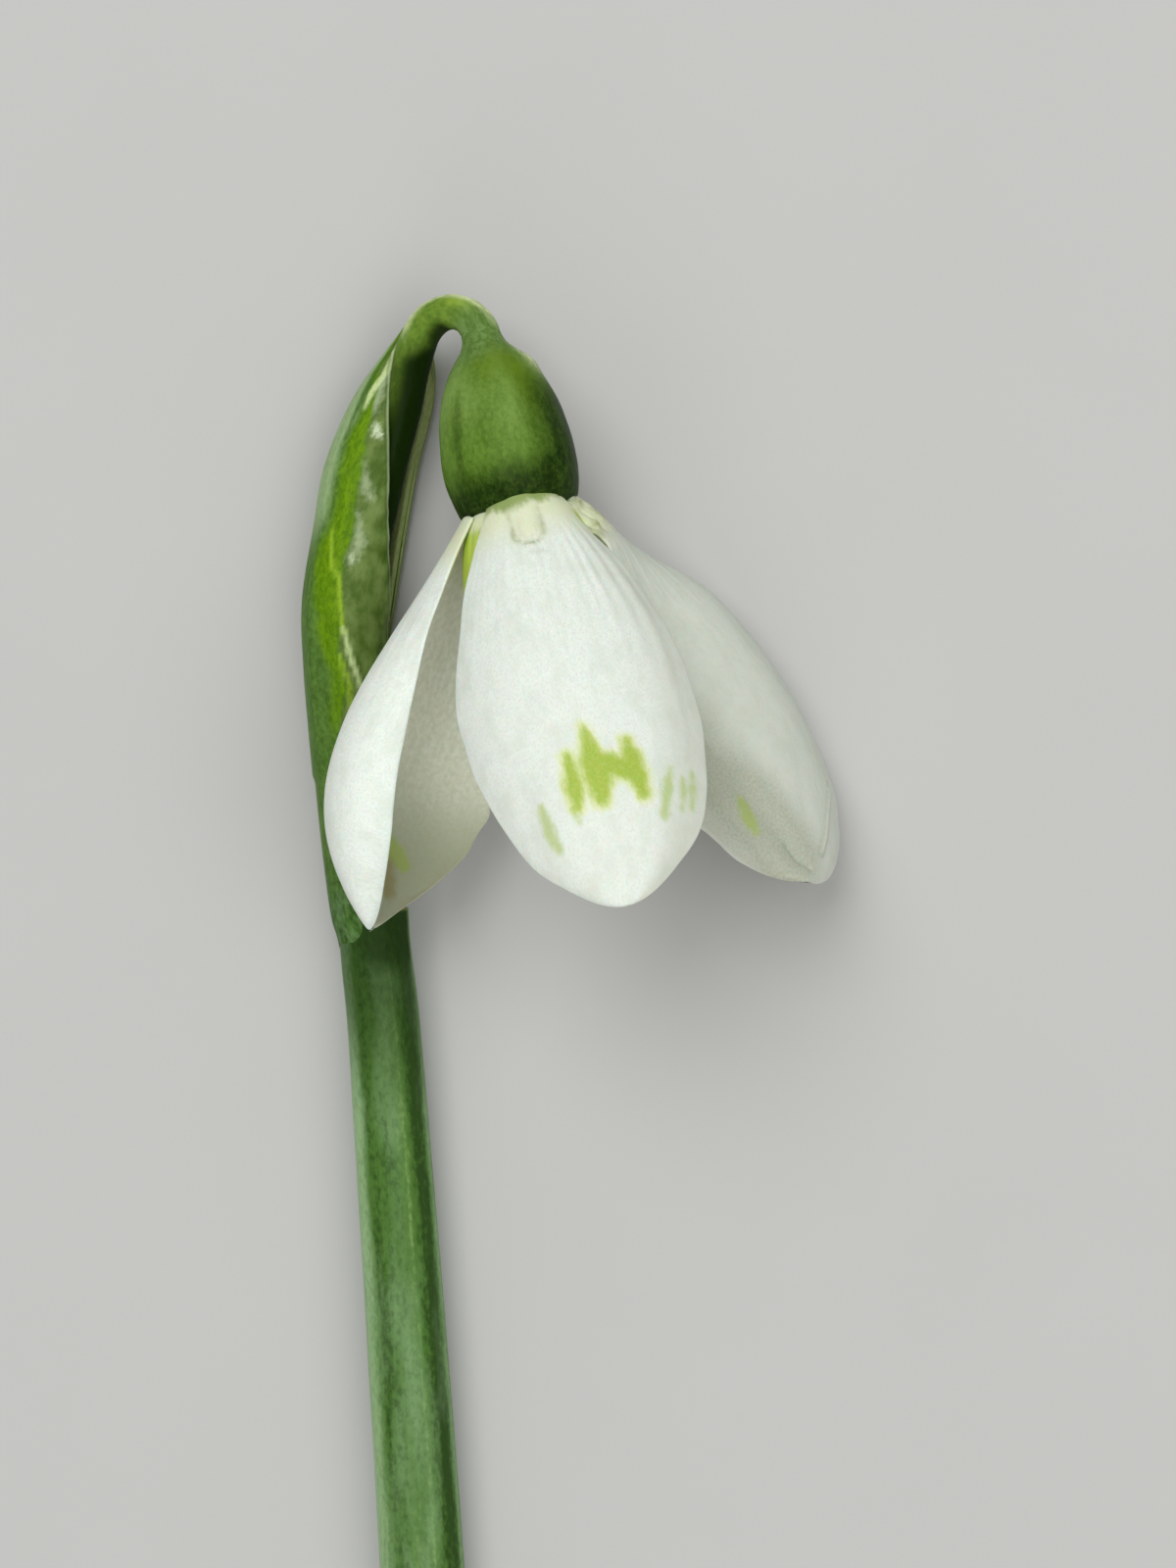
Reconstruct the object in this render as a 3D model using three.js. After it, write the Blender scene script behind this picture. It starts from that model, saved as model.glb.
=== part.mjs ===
// A cut snowdrop lying on a flat surface: stem, spathe, hooked flower stalk and one open flower.
// Millimetres. +Z is up, the surface is Z = 0, and +Y runs from the cut end of the stem to the flower.
import * as THREE from 'three';

// ---- Driving dimensions ---------------------------------------------------------------------------
// The plant is drawn in its own frame: the origin is the top of the stem, +Y runs up the stem,
// +X is the side that the flower hangs on, and +Z is the side that faces up when it lies down.

// How the drawn plant is turned and lifted so that it lies on the surface.
const LAY = { pitch: -0.18, roll: 4.03, shift: [-11.78, 14.29, 2.65] };

// Stem: centre line from the cut end to the top, with its radius at each point.
const SCAPE = {
  line: [[4.6, -64.8, 0], [3.1, -38.8, 0], [1.1, -10.3, 0], [0.35, -2.9, 0], [0.2, -1.7, 0], [0, 0, 0]],
  radii: [2.55, 2.5, 2.2, 2.12, 1.7, 1.65],
  sides: 16,
  steps: 24,
};

// Spathe: a folded leaf-like sheath. Each station has its height, the place of the keel,
// how deep the near and the far half reach from the keel, and the half breadth. wrap: reach of a
// margin, as a multiple of the depth of the oval that a section is cut from.
const SPATHE = {
  thickness: 0.4,
  wrap: 1.95,
  stations: [
    { y: -1.5, keel: -2.05, near: 4.35, far: 4.35, breadth: 2.2 },
    { y: 4.5, keel: -2.95, near: 4.8, far: 4.8, breadth: 2.6 },
    { y: 9.7, keel: -3.7, near: 4.75, far: 4.75, breadth: 2.7 },
    { y: 14.8, keel: -4.1, near: 5.1, far: 5.1, breadth: 2.7 },
    { y: 18.6, keel: -4.2, near: 5.35, far: 5.6, breadth: 2.65 },
    { y: 23.0, keel: -3.5, near: 4.6, far: 5.5, breadth: 2.45 },
    { y: 26.6, keel: -2.7, near: 3.8, far: 5.5, breadth: 2.15 },
    { y: 30.4, keel: -1.05, near: 2.15, far: 4.6, breadth: 1.6 },
    { y: 33.1, keel: 0.9, near: 0.6, far: 2.7, breadth: 1.0 },
    { y: 34.7, keel: 2.0, near: 0.5, far: 0.6, breadth: 0.5 },
  ],
  sides: 14,
  steps: 24,
};

// Flower stalk: from the top of the stem, inside the spathe, over the hook to the ovary.
const PEDICEL = {
  line: [
    [0.05, 0.4, 0], [-0.6, 7.7, 0], [-0.5, 16.4, 0], [1.0, 23.9, 0.3], [2.45, 29.6, 0.9],
    [2.85, 32.8, 1.7], [3.65, 34.6, 2.7], [4.85, 35.3, 3.8], [6.0, 34.95, 4.7], [6.57, 34.14, 5.08],
    [6.75, 33.34, 5.23],
  ],
  radii: [0.95, 0.95, 1.0, 1.1, 1.15, 1.15, 1.08, 1.05, 1.08, 1.15, 1.28],
  sides: 12,
  steps: 36,
};

// Flower: the middle of the ovary's lower rim, and how the flower hangs from it.
const FLOWER = { centre: [8.94, 23.57, 7.0], tilt: 12.6, lean: 10 };

// Ovary: distance along the flower's axis from the rim, and radius.
const OVARY = [
  [-9.95, 0], [-9.95, 1.3], [-9.2, 1.75], [-8.4, 2.4], [-7.2, 3.05], [-5.7, 3.55], [-4.0, 3.85],
  [-2.4, 3.9], [-1.0, 3.75], [-0.1, 3.4], [-0.1, 0],
];
const OVARY_SIDES = 36;

// Petals. azimuth: degrees round the flower's axis, 0 facing up. sway: how far the azimuth drifts
// by the tip. midrib: four control points of the curve of the middle line, each with its distance
// from the axis and along it. half: greatest half width. base: share of that width at the claw.
// widest: where it is widest. swell, tip and point: how the width grows and ends. twist: turn of
// the blade about its midrib, complete at twistBy. low and high: how far each half curls inward at
// its edge, in degrees, at base, middle and tip.
const OUTER_PETALS = {
  outer_tepal_front: {
    azimuth: 5, sway: 0, midrib: [[3, 0.3], [5.5, 5.1], [11.7, 16.8], [10.6, 25.4]],
    half: 7.55, base: 0.3, widest: 0.55, swell: 1.2, tip: 1.9, point: 0.61,
    twist: 0, twistBy: 1, low: [49, 64, 54], high: [48, 48, 30],
  },
  outer_tepal_left: {
    azimuth: -104, sway: 6, midrib: [[3.3, 0.3], [11.9, 8.6], [15.3, 12.3], [14.3, 21.7]],
    half: 8.6, base: 0.34, widest: 0.61, swell: 1.25, tip: 2.2, point: 0.59,
    twist: -27, twistBy: 0.49, low: [46, 53, 39], high: [50, 142, 151],
  },
  outer_tepal_right: {
    azimuth: 108, sway: 0, midrib: [[3.3, 0.3], [9.0, 5.9], [14.1, 13.1], [12.1, 24.1]],
    half: 7.15, base: 0.32, widest: 0.63, swell: 1.39, tip: 2.93, point: 0.45,
    twist: -64, twistBy: 0.41, low: [39, 60, 70], high: [39, 64, 39],
  },
};
const INNER_PETAL = {
  sway: 0, midrib: [[1.9, 0.3], [3.8, 2.4], [4.3, 6.0], [4.5, 11.0]],
  half: 3.4, base: 0.28, widest: 0.72, swell: 1.1, tip: 3.0, point: 0.5,
  twist: 0, twistBy: 1, low: [45, 55, 40], high: [45, 55, 40],
};
const INNER_AZIMUTHS = [-64, 40, 172];
const OUTER_BLADE = { thickness: 0.5, edge: 0.26, tipWidth: 0.35, steps: 22, sides: 12 };
const INNER_BLADE = { thickness: 0.45, edge: 0.25, tipWidth: 0.9, steps: 14, sides: 8 };

// Stamens, in distances along the flower's axis and out from it. The filament stops short of the
// anther by the gap; the anther has a radius at its foot, at a third, at two thirds and at its tip.
const STAMENS = { count: 6, circle: 1.2, turn: 34, start: 0.3, joint: 2.0, end: 6.6, gap: 0.08 };
const FILAMENT = { radius: 0.22, bow: 0.05, sides: 6, steps: 4 };
const ANTHER = { radii: [0.3, 0.5, 0.4, 0.1], lean: 0.35, sides: 8, steps: 8 };
const STYLE = { start: 0.3, end: 8.6, radius: 0.38, tip: 0.12, sides: 8, steps: 6 };

// ---- Colours and finish ---------------------------------------------------------------------------
const FINISH = {
  petal: { color: 0xf3f5f6, roughness: 0.55, metalness: 0 },
  stem: { color: 0x5f8f4e, roughness: 0.5, metalness: 0 },
  sheath: { color: 0x84a860, roughness: 0.45, metalness: 0 },
  stalk: { color: 0x6f9a3c, roughness: 0.45, metalness: 0 },
  ovary: { color: 0x47792f, roughness: 0.4, metalness: 0 },
  anther: { color: 0xd99a2b, roughness: 0.6, metalness: 0 },
  filament: { color: 0xe9ecd2, roughness: 0.5, metalness: 0 },
  style: { color: 0xcfdc9c, roughness: 0.5, metalness: 0 },
};

const part = new THREE.Group();
const plant = new THREE.Group();
part.add(plant);

// ---- Helpers --------------------------------------------------------------------------------------
const radians = THREE.MathUtils.degToRad;

// Eases from 0 to 1 with level ends.
const ease = (x) => THREE.MathUtils.smoothstep(x, 0, 1);

// A value that is given at the base, the middle and the tip of a petal.
function alongPetal([base, middle, tip], u) {
  return u < 0.5 ? base + (middle - base) * ease(2 * u) : middle + (tip - middle) * ease(2 * u - 1);
}

function addPiece(name, geometry, finish, parent = plant) {
  const mesh = new THREE.Mesh(geometry, new THREE.MeshStandardMaterial(FINISH[finish]));
  mesh.name = name;
  parent.add(mesh);
}

// Joins closed rings of points into one solid. Point j of a ring faces point n - 1 - j across it,
// so each end is closed by a ladder of quads, which suits a round ring and a thin curved one alike.
function loft(rings) {
  const n = rings[0].length;
  const index = [];
  const quad = (a, b, c, d) => index.push(a, b, c, a, c, d);
  for (let i = 0; i + 1 < rings.length; i++) {
    for (let j = 0; j < n; j++) {
      const k = (j + 1) % n;
      quad(i * n + j, i * n + k, (i + 1) * n + k, (i + 1) * n + j);
    }
  }
  const last = (rings.length - 1) * n;
  for (let j = 0; j + 1 < n / 2; j++) {
    quad(n - 1 - j, n - 2 - j, j + 1, j);
    quad(last + j, last + j + 1, last + n - 2 - j, last + n - 1 - j);
  }
  const geometry = new THREE.BufferGeometry().setFromPoints(rings.flat());
  geometry.setIndex(volume(rings.flat(), index) < 0 ? index.reverse() : index);
  geometry.computeVertexNormals();
  return geometry;
}

function volume(points, index) {
  let sum = 0;
  const normal = new THREE.Vector3();
  for (let i = 0; i < index.length; i += 3) {
    normal.crossVectors(points[index[i + 1]], points[index[i + 2]]);
    sum += points[index[i]].dot(normal) / 6;
  }
  return sum;
}

// A round stem along a smooth line, with a radius at each of the line's points. Each ring keeps the
// direction of the ring before it as nearly as it can, so that the stem doesn't wring.
function stem(line, radii, sides, steps) {
  const points = line.map((p) => new THREE.Vector3(...p));
  const curve = new THREE.CatmullRomCurve3(points, false, 'catmullrom', 0.5);
  const normal = new THREE.Vector3(0, 0, 1);
  const rings = [];
  for (let i = 0; i <= steps; i++) {
    const t = (i / steps) * (line.length - 1);
    const whole = Math.min(Math.floor(t), line.length - 2);
    const radius = THREE.MathUtils.lerp(radii[whole], radii[whole + 1], t - whole);
    const tangent = curve.getTangent(i / steps);
    normal.addScaledVector(tangent, -normal.dot(tangent)).normalize();
    const binormal = new THREE.Vector3().crossVectors(tangent, normal);
    const ring = [];
    for (let j = 0; j < sides; j++) {
      const angle = ((j + 0.5) / sides) * 2 * Math.PI;
      ring.push(curve.getPoint(i / steps)
        .addScaledVector(normal, radius * Math.cos(angle))
        .addScaledVector(binormal, radius * Math.sin(angle)));
    }
    rings.push(ring);
  }
  return loft(rings);
}

// ---- Stem, spathe and flower stalk ----------------------------------------------------------------
function spatheStation(s) {
  const t = s * (SPATHE.stations.length - 1);
  const i = Math.min(Math.floor(t), SPATHE.stations.length - 2);
  const at = (k, key) => SPATHE.stations[THREE.MathUtils.clamp(k, 0, SPATHE.stations.length - 1)][key];
  const smooth = (key) => {
    const [a, b, c, d] = [at(i - 1, key), at(i, key), at(i + 1, key), at(i + 2, key)];
    const f = t - i;
    const bend = 2 * a - 5 * b + 4 * c - d;
    const turn = 3 * b - a - 3 * c + d;
    return (2 * b + (c - a) * f + bend * f ** 2 + turn * f ** 3) / 2;
  };
  return Object.fromEntries(['y', 'keel', 'near', 'far', 'breadth'].map((key) => [key, smooth(key)]));
}

// One section of the spathe is an oval that is open towards the flower.
function spatheRing(s) {
  const { y, keel, near, far, breadth } = spatheStation(s);
  const depth = Math.max(near, far) / SPATHE.wrap;
  const last = Math.acos(THREE.MathUtils.clamp(1 - near / depth, -1, 1));
  const first = -Math.acos(THREE.MathUtils.clamp(1 - far / depth, -1, 1));
  const innerDepth = depth - Math.min(SPATHE.thickness, depth / 2);
  const innerBreadth = breadth - Math.min(SPATHE.thickness, breadth / 2);
  const outside = [];
  const inside = [];
  for (let j = 0; j <= SPATHE.sides; j++) {
    const angle = THREE.MathUtils.lerp(first, last, j / SPATHE.sides);
    const x = keel + depth;
    outside.push(new THREE.Vector3(x - depth * Math.cos(angle), y, breadth * Math.sin(angle)));
    inside.push(new THREE.Vector3(x - innerDepth * Math.cos(angle), y, innerBreadth * Math.sin(angle)));
  }
  return outside.concat(inside.reverse());
}

function addStem() {
  addPiece('scape', stem(SCAPE.line, SCAPE.radii, SCAPE.sides, SCAPE.steps), 'stem');
  const rings = [];
  for (let i = 0; i <= SPATHE.steps; i++) {
    rings.push(spatheRing(i / SPATHE.steps));
  }
  addPiece('spathe', loft(rings), 'sheath');
  addPiece('pedicel', stem(PEDICEL.line, PEDICEL.radii, PEDICEL.sides, PEDICEL.steps), 'stalk');
}

// ---- Flower ---------------------------------------------------------------------------------------
// The flower has its own frame: +Y up its axis towards the stalk, +Z to the front, and the rim's
// middle at the origin, so petals run towards -Y.
const flower = new THREE.Group();
flower.position.set(...FLOWER.centre);
flower.rotation.set(radians(-FLOWER.lean), 0, radians(FLOWER.tilt), 'ZXY');
plant.add(flower);

function petalWidth(shape, u) {
  const { half, base, widest, swell, tip, point } = shape;
  if (u < widest) {
    return half * (base + (1 - base) * Math.sin((u / widest) * Math.PI / 2) ** swell);
  }
  return half * (1 - ((u - widest) / (1 - widest)) ** tip) ** point;
}

function petalRing(shape, blade, u) {
  const azimuth = radians(shape.azimuth + shape.sway * u * u);
  const outward = new THREE.Vector3(Math.sin(azimuth), 0, Math.cos(azimuth));
  const around = new THREE.Vector3(Math.cos(azimuth), 0, -Math.sin(azimuth));
  const midrib = new THREE.CubicBezierCurve(...shape.midrib.map((p) => new THREE.Vector2(...p)));
  const place = midrib.getPoint(u);
  const slope = midrib.getTangent(u);
  const middle = new THREE.Vector3(0, -place.y, 0).addScaledVector(outward, place.x);
  const along = new THREE.Vector3(0, -slope.y, 0).addScaledVector(outward, slope.x);
  const twist = radians(shape.twist) * ease(Math.min(u / shape.twistBy, 1));
  const face = new THREE.Vector3().crossVectors(along, around).applyAxisAngle(along, -twist);
  const side = around.clone().applyAxisAngle(along, -twist);
  const width = Math.max(petalWidth(shape, u), blade.tipWidth);
  const outside = [];
  const inside = [];
  for (let j = 0; j <= blade.sides; j++) {
    const v = (2 * j) / blade.sides - 1;
    const curl = radians(alongPetal(v > 0 ? shape.high : shape.low, u));
    const wall = THREE.MathUtils.lerp(blade.thickness, blade.edge, v * v);
    const across = Math.sin(curl * v) / curl;
    const inward = (1 - Math.cos(curl * v)) / curl;
    const skin = middle.clone()
      .addScaledVector(side, width * across)
      .addScaledVector(face, -width * inward);
    outside.push(skin);
    inside.push(skin.clone()
      .addScaledVector(face, -wall * Math.cos(curl * v))
      .addScaledVector(side, -wall * Math.sin(curl * v)));
  }
  return outside.concat(inside.reverse());
}

function addPetal(name, shape, blade) {
  const rings = [];
  for (let i = 0; i <= blade.steps; i++) {
    rings.push(petalRing(shape, blade, i / blade.steps));
  }
  addPiece(name, loft(rings), 'petal', flower);
}

function addOvary() {
  const profile = OVARY.map(([along, radius]) => new THREE.Vector2(radius, -along)).reverse();
  addPiece('ovary', new THREE.LatheGeometry(profile, OVARY_SIDES), 'ovary', flower);
}

// Each stamen is a short stalk with a pointed anther on it that leans in at its tip.
function addStamens() {
  const { count, circle, turn, start, joint, end, gap } = STAMENS;
  const third = (end - joint) / 3;
  for (let i = 0; i < count; i++) {
    const azimuth = radians(turn + (360 * i) / count);
    const point = (along, out) => [out * Math.sin(azimuth), -along, out * Math.cos(azimuth)];
    const stalk = [
      point(start, circle),
      point((start + joint) / 2, circle + FILAMENT.bow),
      point(joint - gap, circle),
    ];
    const { radius, sides, steps } = FILAMENT;
    const radii = stalk.map(() => radius);
    addPiece(`filament_${i + 1}`, stem(stalk, radii, sides, steps), 'filament', flower);
    const body = [
      point(joint, circle),
      point(joint + third, circle),
      point(joint + 2 * third, circle - ANTHER.lean / 3),
      point(end, circle - ANTHER.lean),
    ];
    addPiece(`anther_${i + 1}`, stem(body, ANTHER.radii, ANTHER.sides, ANTHER.steps), 'anther', flower);
  }
}

function addStyle() {
  const { start, end, radius, tip, sides, steps } = STYLE;
  const line = [[0, -start, 0], [0, -(start + end) / 2, 0], [0, -end, 0]];
  addPiece('style', stem(line, [radius, radius, tip], sides, steps), 'style', flower);
}

addStem();
addOvary();
for (const [name, shape] of Object.entries(OUTER_PETALS)) {
  addPetal(name, shape, OUTER_BLADE);
}
INNER_AZIMUTHS.forEach((azimuth, i) => {
  addPetal(`inner_tepal_${i + 1}`, { ...INNER_PETAL, azimuth }, INNER_BLADE);
});
addStamens();
addStyle();

plant.rotation.set(radians(LAY.pitch), radians(LAY.roll), 0);
plant.position.set(...LAY.shift);

export default part;
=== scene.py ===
"""A cut snowdrop lying on a pale surface: its pieces, their finishes, the floor, lights and camera.

The plant is drawn in millimetres in its own frame: the origin is the top of the stem, +Y runs up the
stem, +X is the side that the flower hangs on, and +Z faces up. The flower has a second frame, with its
origin in the middle of the ovary's rim, +Y up its axis and +Z to the front. The last step of each
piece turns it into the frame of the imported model, in metres.
"""
import math

import bpy
import numpy as np
from bpy.props import FloatProperty, FloatVectorProperty, PointerProperty
from mathutils import Matrix, Vector


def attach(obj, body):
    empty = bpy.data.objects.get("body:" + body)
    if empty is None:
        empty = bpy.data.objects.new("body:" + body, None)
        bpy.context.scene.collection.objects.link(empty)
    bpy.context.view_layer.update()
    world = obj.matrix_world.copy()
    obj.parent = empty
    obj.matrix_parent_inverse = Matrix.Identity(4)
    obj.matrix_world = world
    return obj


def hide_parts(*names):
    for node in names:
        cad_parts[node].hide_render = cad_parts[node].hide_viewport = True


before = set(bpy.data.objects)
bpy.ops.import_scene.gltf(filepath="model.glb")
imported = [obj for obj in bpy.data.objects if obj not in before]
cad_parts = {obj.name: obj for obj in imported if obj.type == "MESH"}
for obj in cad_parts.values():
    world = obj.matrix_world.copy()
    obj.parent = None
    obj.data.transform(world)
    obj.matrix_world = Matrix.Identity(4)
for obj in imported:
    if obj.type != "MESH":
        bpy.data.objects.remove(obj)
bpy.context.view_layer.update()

bl_info = {
    "name": "Snowdrop Builder",
    "version": (1, 0, 0),
    "blender": (4, 5, 0),
    "location": "View3D > Sidebar > Snowdrop",
    "description": "Builds a cut snowdrop flower with its materials and a studio stage",
    "category": "Add Mesh",
}

# ---- How the plant lies and how the flower hangs ---------------------------------------------------
MM = 0.001
LAY_PITCH, LAY_ROLL = math.radians(-0.18), math.radians(4.03)
LAY_SHIFT = Vector((-11.78, 14.29, 2.65))
LAY = (
    Matrix.Scale(MM, 4)
    @ Matrix.Translation(LAY_SHIFT)
    @ Matrix.Rotation(LAY_PITCH, 4, "X")
    @ Matrix.Rotation(LAY_ROLL, 4, "Y")
)
FLOWER_CENTRE = Vector((8.94, 23.57, 7.0))
FLOWER_TILT, FLOWER_LEAN = math.radians(12.6), math.radians(10)
FLOWER = (
    LAY
    @ Matrix.Translation(FLOWER_CENTRE)
    @ Matrix.Rotation(FLOWER_TILT, 4, "Z")
    @ Matrix.Rotation(-FLOWER_LEAN, 4, "X")
)

# ---- Shapes of the pieces, in millimetres ----------------------------------------------------------
STEM_LINE = [
    (4.6, -64.8, 0), (3.1, -38.8, 0), (1.1, -10.3, 0), (0.4, -2.9, 0), (0.28, -1.5, 0), (0.2, 0.2, 0),
]
STEM_RADII = [2.55, 2.5, 2.2, 2.12, 2.1, 2.08]

# Each station of the sheath: height, keel, reach of the near half and of the far half, half breadth.
SHEATH_STATIONS = [
    (-3.4, -1.5, 3.5, 3.5, 1.7),
    (-1.4, -1.98, 4.08, 4.08, 1.98),
    (0.1, -2.38, 4.45, 4.45, 2.05),
    (4.5, -2.95, 4.8, 4.8, 2.6),
    (9.7, -3.46, 4.5, 4.5, 2.7),
    (14.8, -3.98, 4.98, 4.98, 2.7),
    (18.6, -4.05, 5.32, 5.55, 2.65),
    (23.0, -3.36, 4.58, 5.55, 2.45),
    (26.6, -2.7, 3.94, 5.55, 2.15),
    (30.4, -1.1, 2.3, 4.85, 1.6),
    (33.1, 0.75, 0.75, 2.95, 1.0),
    (34.7, 2.0, 0.5, 0.6, 0.5),
]
# How round the sheath bends: its reach as a multiple of the depth of the oval that it follows.
SHEATH_WRAP = 1.95
SHEATH_WALL, SHEATH_SKIN_WALL = 0.4, 0.2
# How far the thin far edge hangs down.
FAR_EDGE_DROOP = 0.8

STALK_LINE = [
    (0.05, 0.4, 0), (-0.6, 7.7, 0), (-0.7, 16.4, 0), (0.58, 23.9, 0.3), (1.98, 29.6, 0.9), (2.66, 32.85, 1.7),
    (3.5, 34.58, 2.7), (4.68, 35.13, 3.8), (5.82, 34.78, 4.7), (6.5, 34.06, 5.08), (6.76, 33.34, 5.23),
    (6.84, 32.98, 5.29),
]
STALK_RADII = [0.95, 0.95, 1.0, 1.04, 1.02, 1.12, 1.08, 1.04, 1.05, 1.08, 1.13, 1.08]

# The ovary's outline: distance along the flower's axis from the rim, and radius. Its ribs: how many, and
# how far they are turned, in radians.
OVARY_PROFILE = [
    (-10.9, 0.05), (-10.85, 0.8), (-10.7, 1.02), (-10.4, 1.13), (-10.1, 1.215), (-9.8, 1.33), (-9.5, 1.51),
    (-9.2, 1.76), (-8.4, 2.36), (-7.2, 3.02), (-5.7, 3.53), (-4.0, 3.83), (-2.4, 3.91), (-1.2, 3.78),
    (-0.45, 3.6), (0.05, 3.4), (0.36, 3.0), (0.46, 2.4), (0.46, 0.05),
]
OVARY_LEAST_RADIUS = 0.04
OVARY_RIBS, OVARY_RIB_TURN = 6, 0.6

# A petal's blade is set by the curve of its midrib (distance from the flower's axis and along it), the
# length that the ovary's rim hides, its half width, how it swells and ends, how it turns about its
# midrib and how its halves curl. The lap widens the foot of one half and curls it round the flower. A
# swell widens one half by an amount: -1 or 1 for the half, its place along the petal, its reach and the
# amount. The nub is the small tip that every petal ends in: its half width and how far it juts out.
OUTER_PETALS = {
    "outer_tepal_front": dict(
        nub=(0.95, 0.3), azimuth=5, sway=0, hidden=0.5,
        midrib=[(3, -0.3), (5.5, 4.9), (11.7, 16.8), (10.6, 25.15)],
        half=7.55, base=0.3, widest=0.55, swell=1.2, tip=2.05, point=0.58,
        twist=0, twist_by=1, low=(49, 64, 54), high=(48, 48, 30),
        swells=[(-1, 0.5, 0.14, 0.45), (-1, 0.9, 0.06, 0.2), (1, 0.88, 0.08, 0.38)],
    ),
    "outer_tepal_left": dict(
        nub=(0.25, 0.15), azimuth=-104, sway=6, hidden=0.6,
        midrib=[(3.1, -0.3), (10.65, 8.4), (16.5, 12.3), (13.75, 21.7)],
        half=8.6, base=0.34, widest=0.61, swell=1.25, tip=2.2, point=0.59,
        twist=-27, twist_by=0.49, low=(46, 53, 39), high=(50, 142, 151),
        swells=[(-1, 0.91, 0.1, 1.75), (-1, 0.72, 0.2, 1.15)],
    ),
    "outer_tepal_right": dict(
        nub=(0.35, 0.25), azimuth=108, sway=0, hidden=0.6,
        midrib=[(3.1, -0.3), (9.0, 5.7), (14.1, 13.1), (12.1, 24.1)],
        half=7.15, base=0.32, widest=0.63, swell=1.39, tip=2.93, point=0.45,
        twist=-64, twist_by=0.41, low=(39, 60, 70), high=(39, 64, 39), lap=0.8, lap_curl=56,
        swells=[(-1, 0.84, 0.05, 0.5), (-1, 0.955, 0.03, 0.2), (1, 0.4, 0.14, -0.55), (1, 0.15, 0.08, -0.5)],
    ),
}
INNER_PETAL = dict(
    nub=(0.3, 0.2), sway=0, hidden=0, midrib=[(2.7, -0.1), (4.5, 2.0), (4.5, 6.0), (4.6, 11.0)],
    half=3.5, base=0.4, widest=0.72, swell=1.1, tip=3.0, point=0.5,
    twist=0, twist_by=1, low=(45, 55, 40), high=(45, 55, 40), swells=[],
)
INNER_AZIMUTHS = [-64, 40, 172]
STAMEN_COUNT, STAMEN_CIRCLE, STAMEN_TURN = 6, 1.2, 34
FILAMENT_START, FILAMENT_MIDDLE, FILAMENT_END, FILAMENT_BOW = 0.0, 1.1, 2.1, 0.05
ANTHER_OVERLAP, ANTHER_END, ANTHER_LEAN = 0.1, 6.6, 0.35
STYLE_START, STYLE_END, STYLE_BOW = 0.0, 8.6, 0.03
FILAMENT_RADII, ANTHER_RADII, STYLE_RADII = [0.26, 0.2, 0.16], [0.3, 0.46, 0.36, 0.07], [0.42, 0.36, 0.16]
# An anther's two lobes: how much they swell, and how deep and wide the groove between them is.
LOBE_SWELL, LOBE_GROOVE, LOBE_GROOVE_WIDTH = 0.18, 0.12, 0.25

# ---- How finely each piece is drawn: rows along it and places across or round it --------------------
PETAL_ROWS, PETAL_PLACES = 190, 111
INNER_ROWS, INNER_PLACES = 100, 61
SHEATH_ROWS, SHEATH_PLACES = 260, 91
STEM_ROWS, STEM_PLACES = 330, 96
STALK_ROWS, STALK_PLACES = 240, 64
OVARY_ROWS, OVARY_PLACES = 130, 160
FILAMENT_ROWS, FILAMENT_PLACES = 16, 14
ANTHER_ROWS, ANTHER_PLACES = 44, 32
STYLE_ROWS, STYLE_PLACES = 60, 24

# ---- Fine shapes and marks, in millimetres ----------------------------------------------------------
# Ridges fan out from a petal's claw. Each has its place across (-1 to 1 is margin to margin), its half
# width in the same terms, its height, and the shares of the petal's length where it starts and ends.
PETAL_RIDGES = [
    (-0.8, 0.08, 0.03, 0.06, 0.6), (-0.58, 0.06, 0.025, 0.08, 0.4), (-0.36, 0.06, 0.03, 0.1, 0.5),
    (-0.1, 0.06, 0.025, 0.12, 0.4), (0.12, 0.06, 0.03, 0.12, 0.45), (0.35, 0.055, 0.03, 0.1, 0.5),
    (0.56, 0.06, 0.03, 0.08, 0.55), (0.8, 0.08, 0.03, 0.06, 0.55),
]
FRONT_RIDGES = [
    (-0.62, 0.09, 0.04, 0.1, 0.42), (-0.36, 0.07, 0.035, 0.13, 0.34), (-0.17, 0.045, 0.04, 0.16, 0.34),
    (-0.03, 0.04, 0.06, 0.17, 0.36), (0.11, 0.04, 0.07, 0.16, 0.38), (0.24, 0.04, 0.08, 0.14, 0.42),
    (0.36, 0.04, 0.09, 0.12, 0.46), (0.48, 0.045, 0.1, 0.1, 0.56), (0.62, 0.05, 0.11, 0.09, 0.62),
    (0.79, 0.06, 0.12, 0.06, 0.8),
]
VEINS_ACROSS = 21

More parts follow.
